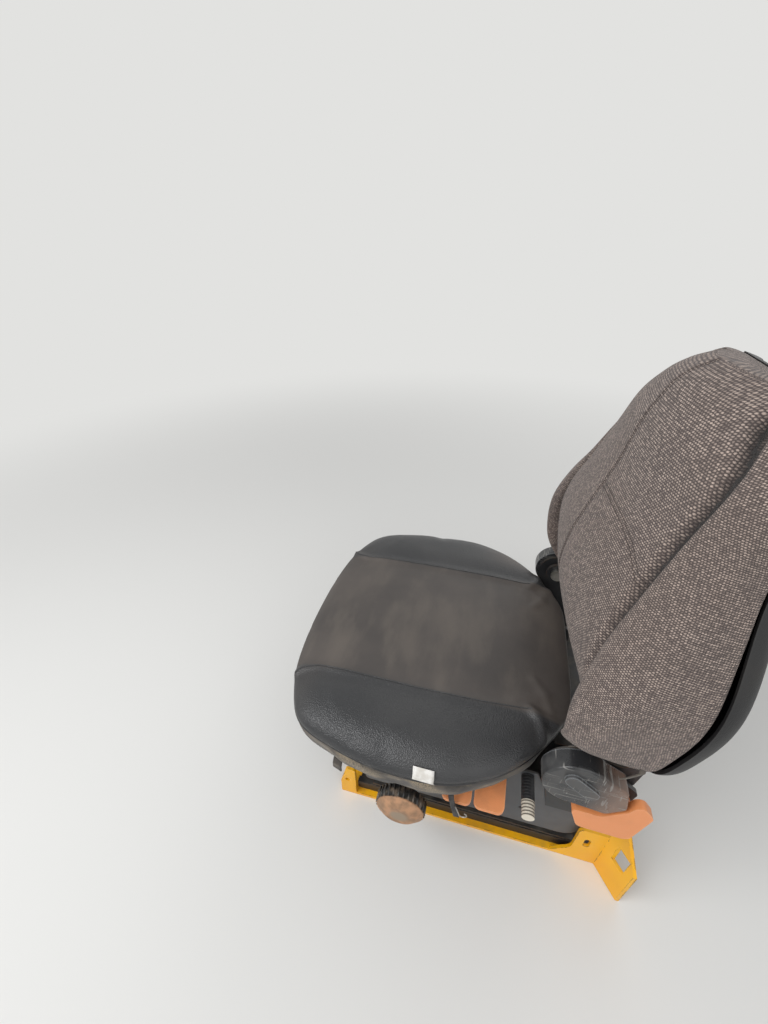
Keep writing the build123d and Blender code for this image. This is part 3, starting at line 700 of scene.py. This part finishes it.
# heights of the welt and of the top's edge above the underside, and how far in the top still rounds over
welt_height = 0.050
edge_height = 0.056
roll_run = 0.044


def top_height(x, y, inset):
    """Height above the cushion's underside of a place on its top."""
    from_middle = np.abs(y)
    bolster = smoothed(from_middle, seam_y - 0.01, seam_y + 0.045) * 0.0065
    belly = 0.003 * (1 - np.clip(from_middle / seam_y, 0, 1) ** 2)
    nose = 0.006 * smoothed(x, 0.22, 0.30)
    crest = 0.0715 + bolster + belly - nose
    crest -= 0.006 * smoothed(-x, 0.03, 0.10)
    round_share = np.clip(inset / roll_run, 0, 1)
    return edge_height + (crest - edge_height) * np.sqrt(1 - (1 - round_share) ** 2.2)


under_rows = [(0.0, 0.24), (0.0, 0.12), (0.0, 0.05)]
band_rows = [(0.0, 0.022), (0.001, 0.014), (0.006, 0.010), (0.014, 0.007), (0.024, 0.004), (0.034, 0.0022),
             (0.042, 0.0010), (0.047, 0.0016), (welt_height, 0.0022), (0.053, 0.0006)]
roll_insets = [0.0, 0.001, 0.0027, 0.005, 0.008, 0.0115, 0.0155, 0.020, 0.025, 0.0305, 0.0365, roll_run]
inner_rings = 27
inner_reach = 0.985

rings = []
for height, inset in under_rows + band_rows:
    share = np.clip(1 - inset / spoke_length, 0, 1)
    place = spine + (rim - spine) * share[:, None]
    rings.append(np.column_stack([place, np.full(around, cushion_low.z + height)]))
roll_shares = [1 - inset / spoke_length for inset in roll_insets]
inner_steps = range(1, inner_rings + 1)
inner_shares = [roll_shares[-1] * (1 - inner_reach * step / inner_rings) for step in inner_steps]
for share in roll_shares + inner_shares:
    place = spine + (rim - spine) * share[:, None]
    depth_in = spoke_length * (1 - share)
    rings.append(np.column_stack([place, cushion_low.z + top_height(place[:, 0], place[:, 1], depth_in)]))

cushion_faces = ring_faces(len(rings), around)
cushion_faces += across_faces(0, around) + across_faces((len(rings) - 1) * around, around)
cushion = new_piece("cushion_cover", np.vstack(rings), cushion_faces, vinyl)
print("cushion rings:", len(rings), "of", around, "points")

# %% [markdown]
# Now the cushion gets soft. The cloth copy is held at the underside and at the two long seams, so the
# bolsters and the middle swell by themselves. Then the seams are pressed in, with the crease where each
# bolster ends at the rear and a few wrinkles beside it.

# %% Soften and sew the cushion


def cushion_held(points):
    """The underside and a strip along each seam stay where they are."""
    plan = points[:, :2]
    on_seam = (np.minimum(gap_to(near_seam, plan), gap_to(far_seam, plan)) < 0.008)
    high = points[:, 2] > cushion_low.z + edge_height
    return (points[:, 2] < cushion_low.z + 0.012) | (on_seam & high) | (points[:, 0] < cushion_low.x + 0.03)


def press(thing, path, keep, depth, width):
    """Presses a sewn line, given in plan, into a piece, where keep is high."""
    points = points_of(thing)
    sink = depth * np.exp(-((gap_to(path, points[:, :2]) / width) ** 2)) * keep(points)
    put_points(thing, points - normals_of(thing) * sink[:, None])


def on_top(points):
    """1 on the cushion's top and 0 below its edge."""
    return smoothed(points[:, 2], cushion_low.z + edge_height, cushion_low.z + edge_height + 0.006)


swell_share = 0.7
put_points(cushion, points_of(cushion) + swell(cushion, cushion_held, 0.007) * swell_share)
bolster_end = np.array([(-0.045, 0.128), (-0.058, 0.140), (-0.063, 0.163), (-0.061, 0.185),
                        (-0.047, 0.215)])
wrinkles = [
    np.array([(-0.050, 0.075), (-0.066, 0.100), (-0.074, 0.122)]),
    np.array([(-0.020, 0.118), (-0.050, 0.110), (-0.070, 0.094)]),
    np.array([(0.262, 0.150), (0.235, 0.168), (0.215, 0.196)]),
]
for mirror in (1, -1):
    side = (1, mirror)
    press(cushion, near_seam * side, on_top, 0.0052, 0.0058)
    press(cushion, bolster_end * side, on_top, 0.0045, 0.0065)
    for fold in wrinkles:
        press(cushion, fold * side, on_top, 0.0016, 0.006)

band_wave = points_of(cushion)
height_up = band_wave[:, 2] - cushion_low.z
on_band = smoothed(height_up, 0.002, 0.016) * (1 - smoothed(height_up, 0.034, 0.046))
turn_round = np.arctan2(band_wave[:, 1], band_wave[:, 0] - 0.10)
ripple = np.sin(turn_round * 13 + 0.7) * 0.0016 + np.sin(turn_round * 29 + 2.1) * 0.0009
put_points(cushion, band_wave + normals_of(cushion) * (on_band * ripple)[:, None])

welt_row = len(under_rows) + [height for height, _ in band_rows].index(welt_height)
welt_ring = points_of(cushion)[welt_row * around:(welt_row + 1) * around]
print("welt at z =", round(float(welt_ring[:, 2].mean()), 4))

# %% [markdown]
# The last steps on a pad: turn all faces outwards, add one subdivision so that it is round from near by,
# and give the band below the welt its own cloth.

# %% Close the cushion


def close_pad(thing, low_material=None, split_height=None):
    """Subdivides a pad once and hands the faces under a height a second material."""
    grid = bmesh.new()
    grid.from_mesh(thing.data)
    bmesh.ops.recalc_face_normals(grid, faces=grid.faces)
    grid.to_mesh(thing.data)
    grid.free()
    rounder = thing.modifiers.new("rounder", "SUBSURF")
    rounder.levels = 1
    rounder.render_levels = 1
    finer = bpy.data.meshes.new_from_object(thing.evaluated_get(bpy.context.evaluated_depsgraph_get()))
    thing.modifiers.clear()
    thing.data = finer
    if low_material is not None:
        thing.data.materials.append(low_material)
        for polygon in thing.data.polygons:
            polygon.material_index = int(polygon.center.z < split_height)
    thing.data.shade_smooth()
    print(thing.name, "has", len(thing.data.polygons), "faces")


close_pad(cushion, band_cloth, cushion_low.z + welt_height)
cushion_points = points_of(cushion)
in_middle = 1 - smoothed(np.abs(cushion_points[:, 1]), seam_y - 0.004, seam_y + 0.004)
rubbed_edge = 0.35 * smoothed(cushion_points[:, 0], 0.24, 0.31)
worn_values = np.clip(in_middle + rubbed_edge, 0, 1).astype(np.float32)
cushion.data.attributes.new("worn", "FLOAT", "POINT").data.foreach_set("value", worn_values)
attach(cushion, "cushion")
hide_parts("seat_cushion")

# %% [markdown]
# The backrest lives in its own leaning frame: u forward, y to the left and v up along the back, from the
# recliner's hinge. Each ring is one level cut: a crowned middle, a bolster on each side that is full at the
# small of the back and narrow at the shoulders, and a flat rear against the shell. The distance along the
# ring is the cloth's own coordinate.

# %% The backrest's rings
recline = next(j for j in frame["joints"] if j["name"] == "backrest_recline")
hinge = np.array(recline["pos_m"])
lean = math.radians(12.3)
u_axis = np.array([math.cos(lean), 0, math.sin(lean)])
v_axis = np.array([-math.sin(lean), 0, math.cos(lean)])
y_axis = np.array([0.0, 1.0, 0.0])


def from_back(u, y, v):
    """Points of the backrest's own frame, in the seat's frame."""
    steps = ((u, u_axis), (y, y_axis), (v, v_axis))
    return hinge + sum(np.multiply.outer(length, axis) for length, axis in steps)


def to_back(points):
    """Rows of u, y, v for points in the seat's frame."""
    away = points - hinge
    return np.column_stack([away @ u_axis, away[:, 1], away @ v_axis])


# height, half width, front at the middle, half width at the fold, front at the fold, bolster's crest
back_rows = [
    (-0.005, 0.146, -0.028, 0.126, -0.032, -0.032),
    (0.023, 0.170, -0.008, 0.146, -0.013, -0.009),
    (0.045, 0.196, 0.002, 0.162, 0.002, 0.028),
    (0.061, 0.208, 0.009, 0.176, 0.009, 0.046),
    (0.087, 0.226, 0.026, 0.195, 0.018, 0.058),
    (0.132, 0.236, 0.066, 0.190, 0.050, 0.069),
    (0.203, 0.236, 0.085, 0.176, 0.065, 0.064),
    (0.260, 0.210, 0.084, 0.162, 0.060, 0.054),
    (0.318, 0.181, 0.080, 0.153, 0.055, 0.047),
    (0.398, 0.164, 0.079, 0.136, 0.042, 0.034),
    (0.438, 0.128, 0.065, 0.100, 0.024, 0.022),
    (0.456, 0.096, 0.044, 0.072, 0.012, 0.011),
]
back_low, back_high = back_rows[0][0], back_rows[-1][0]
# the flat rear against the shell: its u at the hinge's height, and how u grows going up
split_at_hinge, split_slope = -0.055, 0.095
back_around = 268
half_around = back_around // 2
rear_points = 26


def bow(start, through_point, end, count=40):
    """Points on a smooth bow from start past the second point to end."""
    t = np.linspace(0, 1, count)[:, None]
    start, past, end = (np.asarray(p, float) for p in (start, through_point, end))
    pull = past * 2 - (start + end) / 2
    return start * (1 - t) ** 2 + pull * 2 * t * (1 - t) + end * t**2


def back_cut(v):
    """Points of one level cut, as u and y, and their distance from its front middle."""
    half, front, fold, fold_u, crest = [float(through(back_rows, k, v)) for k in range(1, 6)]
    rear_u = split_at_hinge + split_slope * v + 0.0005
    side_u = max(crest - 0.030, rear_u + 0.013)
    belly = bow((front, 0), ((front * 0.7 + fold_u * 0.3), fold * 0.55), (fold_u, fold))
    bolster = bow((fold_u, fold), (crest, fold + (half - fold) * 0.5), (side_u, half))
    edge = bow((side_u, half), ((side_u + rear_u) / 2, half - 0.001), (rear_u + 0.004, half - 0.004))
    front_side = np.vstack([belly, bolster[1:], edge[1:]])
    spread = even_path(front_side, half_around + 1 - rear_points, closed=False)
    rear_corners = np.array([spread[-1], (rear_u, half - 0.010), (rear_u, 0.0)])
    rear = even_path(rear_corners, rear_points + 1, closed=False)
    half_ring = np.vstack([spread, rear[1:]])
    steps = np.linalg.norm(np.diff(half_ring, axis=0), axis=1)
    run = np.concatenate([[0.0], np.cumsum(steps)])
    whole = np.vstack([half_ring, half_ring[-2:0:-1] * (1, -1)])
    return whole, np.concatenate([run, -run[-2:0:-1]])


# the levels lie closer together near both ends
even_steps = np.linspace(0, 1, 92)
end_steps = (1 - np.cos(even_steps * math.pi)) / 2
levels = back_low + 0.002 + (back_high - back_low - 0.004) * (0.35 * end_steps + 0.65 * even_steps)
cuts = [back_cut(v) for v in levels]
sections = np.array([cut[0] for cut in cuts])
cloth_run = np.array([cut[1] for cut in cuts])
for _ in range(3):
    sections[1:-1] = (sections[:-2] + 2 * sections[1:-1] + sections[2:]) / 4
    sections = (np.roll(sections, 1, 1) + 2 * sections + np.roll(sections, -1, 1)) / 4
print("backrest rings:", len(levels), "widest", round(float(sections[..., 1].max()) * 2, 3))

# %% [markdown]
# The ends of the backrest are closed with a few smaller rings that rise like a dome. After that the pad
# swells as the cushion did, held at its rear and along its folds.

# %% Close and swell the backrest


def end_rings(section, level, rise, count=7):
    """Smaller and smaller copies of an end ring, domed by rise."""
    middle = section.mean(axis=0)
    angles = np.linspace(0, 1.45, count + 1)[1:]
    return [(middle + (section - middle) * math.cos(a), level + rise * math.sin(a)) for a in angles]


bottom_rings = end_rings(sections[0], levels[0], -0.002)[::-1]
top_rings = end_rings(sections[-1], levels[-1], 0.003)
all_rings = bottom_rings + list(zip(sections, levels)) + top_rings
back_points = np.vstack([
    from_back(ring[:, 0], ring[:, 1], np.full(back_around, level)) for ring, level in all_rings
])
# on the closing rings the cloth's own coordinates run straight across
weave_run = np.vstack([ring[:, 1] for ring, _ in bottom_rings] + list(cloth_run)
                      + [ring[:, 1] for ring, _ in top_rings])
weave_up = np.repeat([[level] for _, level in all_rings], back_around, axis=1)
for row, (ring, level) in enumerate(all_rings):
    side = -1 if row < len(bottom_rings) else int(row >= len(all_rings) - len(top_rings))
    weave_up[row] = level - side * (ring[:, 0] - ring[:, 0].max())
back_faces = ring_faces(len(all_rings), back_around)
back_faces += across_faces(0, back_around) + across_faces((len(all_rings) - 1) * back_around, back_around)
backrest = new_piece("backrest_cover", back_points, back_faces, back_cloth)

# height and half width of the fold, from the lowest point up
fold_rows = [(0.023, 0.146), (0.045, 0.162), (0.061, 0.176), (0.087, 0.193), (0.132, 0.190), (0.203, 0.176),
             (0.260, 0.162), (0.318, 0.153), (0.398, 0.136), (0.438, 0.100)]
fold_heights = np.linspace(fold_rows[0][0], fold_rows[-1][0], 60)
fold_path = np.column_stack([through(fold_rows, 1, fold_heights), fold_heights])
centre_path = np.array([(0.0, 0.090), (0.0, 0.200), (0.0, 0.287), (0.0, 0.452)])
arch_path = np.array([(0.0, 0.289), (0.030, 0.2925), (0.083, 0.292), (0.120, 0.285), (0.147, 0.273),
                      (0.155, 0.268)])

middle_weave = 1.25
place_on_back = to_back(back_points)
fold_there = np.interp(place_on_back[:, 2], fold_path[:, 1], fold_path[:, 0])
weave_size = np.where(np.abs(place_on_back[:, 1]) > fold_there, 1.0, middle_weave)
fold_gap = gap_to(fold_path, np.column_stack([np.abs(place_on_back[:, 1]), place_on_back[:, 2]]))
# painted shade: how close each front point is to a fold, so that the cloth can be darkened there
fold_shade_painted = np.exp(-((fold_gap / 0.0036) ** 2)) * (place_on_back[:, 0] > 0)
weave_rows = np.column_stack([weave_run.ravel() / weave_size, weave_up.ravel() / weave_size, fold_shade_painted])
weave = backrest.data.attributes.new("weave", "FLOAT_VECTOR", "POINT")
weave.data.foreach_set("vector", weave_rows.astype(np.float32).ravel())


def back_held(points):
    """The rear, the ends and a strip along each fold stay where they are."""
    local = to_back(points)
    rear = local[:, 0] < split_at_hinge + split_slope * local[:, 2] + 0.020
    ends = (local[:, 2] < back_low + 0.012) | (local[:, 2] > back_high - 0.012)
    folded = gap_to(fold_path, np.column_stack([np.abs(local[:, 1]), local[:, 2]])) < 0.008
    return rear | ends | (folded & (local[:, 0] > 0))


put_points(backrest, points_of(backrest) + swell(backrest, back_held, 0.006, voxel=0.008) * swell_share)
print("backrest points:", len(back_points))

# %% [markdown]
# Three kinds of line are sewn into the front: a deep fold between the middle and each side bolster, a
# double-stitched seam down the middle, and an arched seam from it to the left fold, above the small of the
# back.

# %% Sew the backrest


def press_back(path, depth, width):
    """Presses a line, given as y and v, into the front of the backrest."""
    points = points_of(backrest)
    local = to_back(points)
    ahead = smoothed(local[:, 0], split_at_hinge + 0.03, split_at_hinge + 0.06)
    sink = depth * np.exp(-((gap_to(path, local[:, 1:]) / width) ** 2)) * ahead
    put_points(backrest, points - normals_of(backrest) * sink[:, None])


for mirror in (1, -1):
    press_back(fold_path * (mirror, 1), 0.0095, 0.0058)
press_back(arch_path, 0.0012, 0.0040)
press_back(centre_path, 0.0012, 0.0040)
close_pad(backrest)
backrest_skin = skin_of(backrest)
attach(backrest, "backrest")
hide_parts("back_cushion")

# %% [markdown]
# What follows a line is made by Geometry Nodes. `Rule` is a node tree with named inputs, written like the
# materials. It ends with real geometry and its material, and is then turned into a plain mesh.

# %% Formulas for geometry


class Rule:
    """A Geometry Nodes tree with named number inputs."""

    def __init__(self, name, **sizes):
        self.tree = bpy.data.node_groups.new(name, "GeometryNodeTree")
        self.tree.interface.new_socket("Path", in_out="INPUT", socket_type="NodeSocketGeometry")
        for label, value in sizes.items():
            made = self.tree.interface.new_socket(label, in_out="INPUT", socket_type="NodeSocketFloat")
            made.default_value = value
        self.tree.interface.new_socket("Result", in_out="OUTPUT", socket_type="NodeSocketGeometry")
        self.given = self.tree.nodes.new("NodeGroupInput")

    def path(self):
        return self.given.outputs["Path"]

    def size(self, label):
        return self.given.outputs[label]

    def node(self, kind, settings=None, inputs=None, output=0):
        made = self.tree.nodes.new(kind)
        for key, value in (settings or {}).items():
            setattr(made, key, value)
        for key, value in (inputs or {}).items():
            if isinstance(value, bpy.types.NodeSocket):
                self.tree.links.new(value, made.inputs[key])
            else:
                made.inputs[key].default_value = value
        return made.outputs[output]

    def close(self, geometry, material):
        """Real geometry with its material, shaded smooth."""
        real = self.node("GeometryNodeRealizeInstances", {}, {0: geometry})
        smooth = self.node("GeometryNodeSetShadeSmooth", {}, {0: real})
        coated = self.node("GeometryNodeSetMaterial", {}, {0: smooth, "Material": material})
        result = self.tree.nodes.new("NodeGroupOutput")
        self.tree.links.new(coated, result.inputs[0])

    def make(self, name, carrier, **sizes):
        """Runs the tree on a carrier and keeps a plain mesh of the result."""
        modifier = carrier.modifiers.new("rule", "NODES")
        modifier.node_group = self.tree
        for item in self.tree.interface.items_tree:
            if item.in_out == "INPUT" and item.name in sizes:
                modifier[item.identifier] = float(sizes[item.name])
        evaluated = carrier.evaluated_get(bpy.context.evaluated_depsgraph_get())
        mesh = bpy.data.meshes.new_from_object(evaluated)
        carrier.modifiers.clear()
        bpy.data.objects.remove(carrier)
        made = bpy.data.objects.new(name, mesh)
        scene.collection.objects.link(made)
        print(name, "has", len(mesh.polygons), "faces")
        return made


def line_carrier(lines, closed=False):
    """A curve object that holds one or more lines of points."""
    data = bpy.data.curves.new("line", "CURVE")
    data.dimensions = "3D"
    for line in lines:
        spline = data.splines.new("POLY")
        spline.points.add(len(line) - 1)
        rows = np.column_stack([line, np.ones(len(line))]).astype(np.float32)
        spline.points.foreach_set("co", rows.ravel())
        spline.use_cyclic_u = closed
    made = bpy.data.objects.new("line", data)
    scene.collection.objects.link(made)
    return made


# %% [markdown]
# The welt is a thin cord sewn between the vinyl and the band, all round the cushion. The rule sweeps a
# small circle along the ring of points where the two meet.

# %% The welt
welt_recipe = Recipe("welt_vinyl")
welt_shade = welt_recipe.noise(60, 4).between(0.4, 0.7)
welt_colour = welt_recipe.mix(welt_shade, paint(30, 30, 32), paint(60, 58, 56))
welt_vinyl = welt_recipe.finish(welt_colour, 0.42, height=welt_recipe.noise(1400, 2), depth=0.0002)

tube_rule = Rule("swept_tube", Radius=0.0024, Spacing=0.004)
even_line = tube_rule.node("GeometryNodeResampleCurve", {"mode": "LENGTH"},
                           {"Curve": tube_rule.path(), "Length": tube_rule.size("Spacing")})
tube_round = tube_rule.node("GeometryNodeCurvePrimitiveCircle", {},
                            {"Resolution": 10, "Radius": tube_rule.size("Radius")})
tube_mesh = tube_rule.node("GeometryNodeCurveToMesh", {},
                           {"Curve": even_line, "Profile Curve": tube_round, "Fill Caps": True})
tube_rule.close(tube_mesh, welt_vinyl)

welt = tube_rule.make("cushion_welt", line_carrier([welt_ring], closed=True), Radius=0.0023)
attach(welt, "cushion")

# %% [markdown]
# The seam between a bolster and the middle stands up as a fine lip of doubled vinyl. The same rule sweeps a
# thin cord along it, laid in the pressed channel by rays from above.

# %% Seam lips on the cushion
cushion_skin = skin_of(cushion)


def laid_on_cushion(path, lift):
    """A plan path, dropped onto the cushion's top."""
    laid = []
    for x, y in even_path(path, 140, closed=False):
        found = cushion_skin.ray_cast(Vector((x, y, 0.6)), Vector((0, 0, -1)))
        if found[0] is not None and found[0].z > cushion_low.z + edge_height:
            laid.append(found[0] + found[1] * lift)
    return np.array(laid)


lip_lines = [laid_on_cushion(path, 0.0002) for path in (near_seam[:-1], far_seam[:-1])]
seam_lips = tube_rule.make("cushion_seam_lips", line_carrier(lip_lines), Radius=0.0009, Spacing=0.003)
seam_lips.data.materials[0] = vinyl
seam_lips.data.attributes.new("worn", "FLOAT", "POINT")
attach(seam_lips, "cushion")

# %% [markdown]
# Stitches: short slugs of thread laid nose to tail along a line on the surface, each turned to follow it.
# The lines are laid on the finished backrest by rays, a hair above the cloth.

# %% Stitches
stitch_rule = Rule("stitch_row", Pitch=0.0042, Thickness=0.00055, Length=0.0028)
stitch_points = stitch_rule.tree.nodes.new("GeometryNodeCurveToPoints")
stitch_points.mode = "LENGTH"
stitch_rule.tree.links.new(stitch_rule.path(), stitch_points.inputs["Curve"])
stitch_rule.tree.links.new(stitch_rule.size("Pitch"), stitch_points.inputs["Length"])
stitch_turn = stitch_rule.node("FunctionNodeAlignRotationToVector", {"axis": "Z"},
                               {"Vector": stitch_points.outputs["Tangent"]})
stitch_slug = stitch_rule.node("GeometryNodeMeshCylinder", {"fill_type": "NGON"},
                               {"Vertices": 6, "Radius": stitch_rule.size("Thickness"),
                                "Depth": stitch_rule.size("Length")})
stitch_row = stitch_rule.node("GeometryNodeInstanceOnPoints", {},
                              {"Points": stitch_points.outputs["Points"], "Instance": stitch_slug,
                               "Rotation": stitch_turn})
stitch_rule.close(stitch_row, seam_thread)


def beside(path, offset):
    """The same 2-D path, moved sideways."""
    fine = even_path(path, 60, closed=False)
    run = np.gradient(fine, axis=0)
    normal = np.column_stack([-run[:, 1], run[:, 0]])
    return fine + normal / np.linalg.norm(normal, axis=1, keepdims=True) * offset


def laid_on_back(path, offset, lift=0.0003):
    """A y and v path, laid on the backrest's front."""
    laid = []
    for y, v in beside(path, offset):
        start = Vector(from_back(0.25, y, v))
        found = backrest_skin.ray_cast(start, Vector(-u_axis))
        if found[0] is not None:
            laid.append(found[0] + found[1] * lift)
    return np.array(laid)


row_gap = 0.0026
seam_lines = [laid_on_back(centre_path, side * row_gap) for side in (1, -1)]
seam_lines += [laid_on_back(arch_path, side * row_gap) for side in (1, -1)]
back_stitches = stitch_rule.make("backrest_stitches", line_carrier(seam_lines))
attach(back_stitches, "backrest")

# %% [markdown]
# Small things finish the seat: a plain white tag caught in the welt, a tab under the cushion's edge, a torn
# hem low on the backrest, and a worn strap with a wire hook, which is looped over the front paddle and
# moves with it.

# %% Tag and strap
tag_recipe = Recipe("white_tag")
tag_shade = tag_recipe.noise(90, 4).between(0.4, 0.7)
tag_cloth = tag_recipe.finish(tag_recipe.mix(tag_shade, paint(232, 230, 226), paint(206, 202, 194)), 0.7,
                              height=tag_recipe.noise(1800, 2), depth=0.00015)


def ribbon(name, middle_line, across, thickness, material, per_row=7):
    """A thin strip along a line, as wide as the vector across."""
    line = even_path(np.asarray(middle_line, float), 24, closed=False)
    steps = np.linspace(-0.5, 0.5, per_row)
    grid = (line[:, None, :] + steps[None, :, None] * np.asarray(across, float)).reshape(-1, 3)
    starts = [row * per_row + k for row in range(len(line) - 1) for k in range(per_row - 1)]
    quads = [(first, first + 1, first + per_row + 1, first + per_row) for first in starts]
    made = new_piece(name, grid, quads, material)
    solid = made.modifiers.new("thickness", "SOLIDIFY")
    solid.thickness = thickness
    solid.offset = 0
    mesh = bpy.data.meshes.new_from_object(made.evaluated_get(bpy.context.evaluated_depsgraph_get()))
    made.modifiers.clear()
    made.data = mesh
    return made


# the tag is caught in the welt and stands a little off it
tag_x, tag_width = 0.084, 0.027
tag_line = [(tag_x - 0.001, 0.2485, cushion_low.z + 0.050), (tag_x, 0.2515, cushion_low.z + 0.057),
            (tag_x, 0.2490, cushion_low.z + 0.064), (tag_x + 0.001, 0.2430, cushion_low.z + 0.0715)]
tag = ribbon("cushion_tag", tag_line, (tag_width, 0, 0), 0.0008, tag_cloth)
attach(tag, "cushion")

paddle_top, paddle_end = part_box("paddle_tilt")[1].z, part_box("paddle_tilt")[1].y
strap_line = [(0.0475, 0.196, paddle_top + 0.0012), (0.0465, 0.214, paddle_top + 0.0014),
              (0.0450, paddle_end + 0.004, paddle_top - 0.002), (0.041, 0.2255, paddle_top - 0.016),
              (0.0370, 0.2265, paddle_top - 0.030), (0.034, 0.2265, paddle_top - 0.042)]
strap = ribbon("paddle_strap", strap_line, (0.008, 0, 0), 0.0012, welt_vinyl)
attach(strap, "tilt_frame")

hook_y, hook_radius, hook_steps = 0.2275, 0.0055, 24
hook_turn = np.linspace(0, 1.4 * math.pi, hook_steps)
hook_line = np.column_stack([0.026 + hook_radius * np.cos(hook_turn), np.full(hook_steps, hook_y),
                             paddle_top - 0.030 - hook_radius * np.sin(hook_turn)])
hook_line = np.vstack([[0.0375, hook_y, paddle_top - 0.012], hook_line])
hook = tube_rule.make("strap_hook", line_carrier([hook_line]), Radius=0.0009, Spacing=0.0015)
hook.data.materials[0] = bright
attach(hook, "tilt_frame")

tab_line = [(0.207, 0.229, cushion_low.z + 0.006), (0.208, 0.232, cushion_low.z - 0.004),
            (0.209, 0.231, cushion_low.z - 0.018)]
tab = ribbon("cushion_tab", tab_line, (0.014, -0.004, 0), 0.0014, band_cloth)
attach(tab, "cushion")
hem_line = [from_back(-0.026, 0.222, 0.100), from_back(-0.030, 0.226, 0.086),
            from_back(-0.021, 0.229, 0.076), from_back(-0.019, 0.227, 0.066)]
hem = ribbon("torn_hem", hem_line, (0.007, 0.003, 0.002), 0.0010, band_cloth)
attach(hem, "backrest")
print("small pieces:", [piece.name for piece in (tag, strap, hook, tab, hem)])

# %% [markdown]
# Fasteners: a hexagon head on its washer, wherever a side skirt is bolted. One rule puts it on every point
# of a carrier, turned to look the way that the point's `facing` attribute says.

# %% Bolt heads
bolt_rule = Rule("bolt_heads", Radius=0.0065, Height=0.0045)
head = bolt_rule.node("GeometryNodeMeshCylinder", {"fill_type": "NGON"},
                      {"Vertices": 6, "Radius": bolt_rule.size("Radius"),
                       "Depth": bolt_rule.size("Height")})
washer_radius = bolt_rule.node("ShaderNodeMath", {"operation": "MULTIPLY"},
                               {0: bolt_rule.size("Radius"), 1: 1.45})
washer = bolt_rule.node("GeometryNodeMeshCylinder", {"fill_type": "NGON"},
                        {"Vertices": 20, "Radius": washer_radius, "Depth": 0.0016})
sunk = bolt_rule.node("GeometryNodeTransform", {}, {"Geometry": washer, "Translation": (0, 0, -0.0012)})
joined = bolt_rule.tree.nodes.new("GeometryNodeJoinGeometry")
bolt_rule.tree.links.new(head, joined.inputs[0])
bolt_rule.tree.links.new(sunk, joined.inputs[0])
facing_out = bolt_rule.node("GeometryNodeInputNamedAttribute", {"data_type": "FLOAT_VECTOR"},
                            {"Name": "facing"})
bolt_turn = bolt_rule.node("FunctionNodeAlignRotationToVector", {"axis": "Z"}, {"Vector": facing_out})
bolts_placed = bolt_rule.node("GeometryNodeInstanceOnPoints", {},
                              {"Points": bolt_rule.path(), "Instance": joined.outputs[0],
                               "Rotation": bolt_turn})
bolt_rule.close(bolts_placed, dark)


def bolts(name, body, places, facing, **sizes):
    """Bolt heads at places, all looking one way, riding on a body."""
    mesh = bpy.data.meshes.new("points")
    mesh.from_pydata(places, [], [])
    directions = np.tile(np.asarray(facing, np.float32), (len(places), 1))
    mesh.attributes.new("facing", "FLOAT_VECTOR", "POINT").data.foreach_set("vector", directions.ravel())
    carrier = bpy.data.objects.new("points", mesh)
    scene.collection.objects.link(carrier)
    made = bolt_rule.make(name, carrier, **sizes)
    made.data.shade_flat()
    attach(made, body)
    return made


washer_seat = 0.0018
below_top = 0.030
for side_name, side in (("left", 1), ("right", -1)):
    skirt_low, skirt_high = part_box("side_skirt_" + side_name)
    skirt_face = max(abs(skirt_low.y), abs(skirt_high.y)) + washer_seat
    skirt_places = [(x, side * skirt_face, skirt_high.z - below_top) for x in (-0.125, 0.010, 0.165)]
    bolts("skirt_bolts_" + side_name, "carriage", skirt_places, (0, side, 0), Radius=0.0045, Height=0.0030)

# %% [markdown]
# The knob's rim is ribbed for grip. The rule makes a ring of points, puts a slim bar on each, and then
# turns the ring to the knob's own axis. How many ribs there are, and their sizes, are named inputs. The
# rule needs no path, so its carrier is only a stub.

# %% Knob ribs
knob_rim = knob_box[1].x - knob_middle.x
rib_rule = Rule("knob_ribs", Radius=knob_rim - 0.0004, Count=30.0, Half_width=0.0015, Length=0.016)
rib_ring = rib_rule.node("GeometryNodeMeshCircle", {},
                         {"Vertices": rib_rule.size("Count"), "Radius": rib_rule.size("Radius")})
rib_bar = rib_rule.node("GeometryNodeMeshCylinder", {"fill_type": "NGON"},
                        {"Vertices": 8, "Radius": rib_rule.size("Half_width"),
                         "Depth": rib_rule.size("Length")})
ribs_placed = rib_rule.node("GeometryNodeInstanceOnPoints", {}, {"Points": rib_ring, "Instance": rib_bar})
ribs_centre = (knob_middle.x, face_starts - 0.0075, knob_middle.z)
ribs_turned = rib_rule.node("GeometryNodeTransform", {},
                            {"Geometry": ribs_placed, "Translation": ribs_centre,
                             "Rotation": (math.pi / 2, 0, 0)})
rib_rule.close(ribs_turned, knob_plastic)
stub = [(0, 0, 0), (0, 0, 0.01)]
knob_ribs = rib_rule.make("knob_ribs", line_carrier([stub]))
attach(knob_ribs, "carriage")
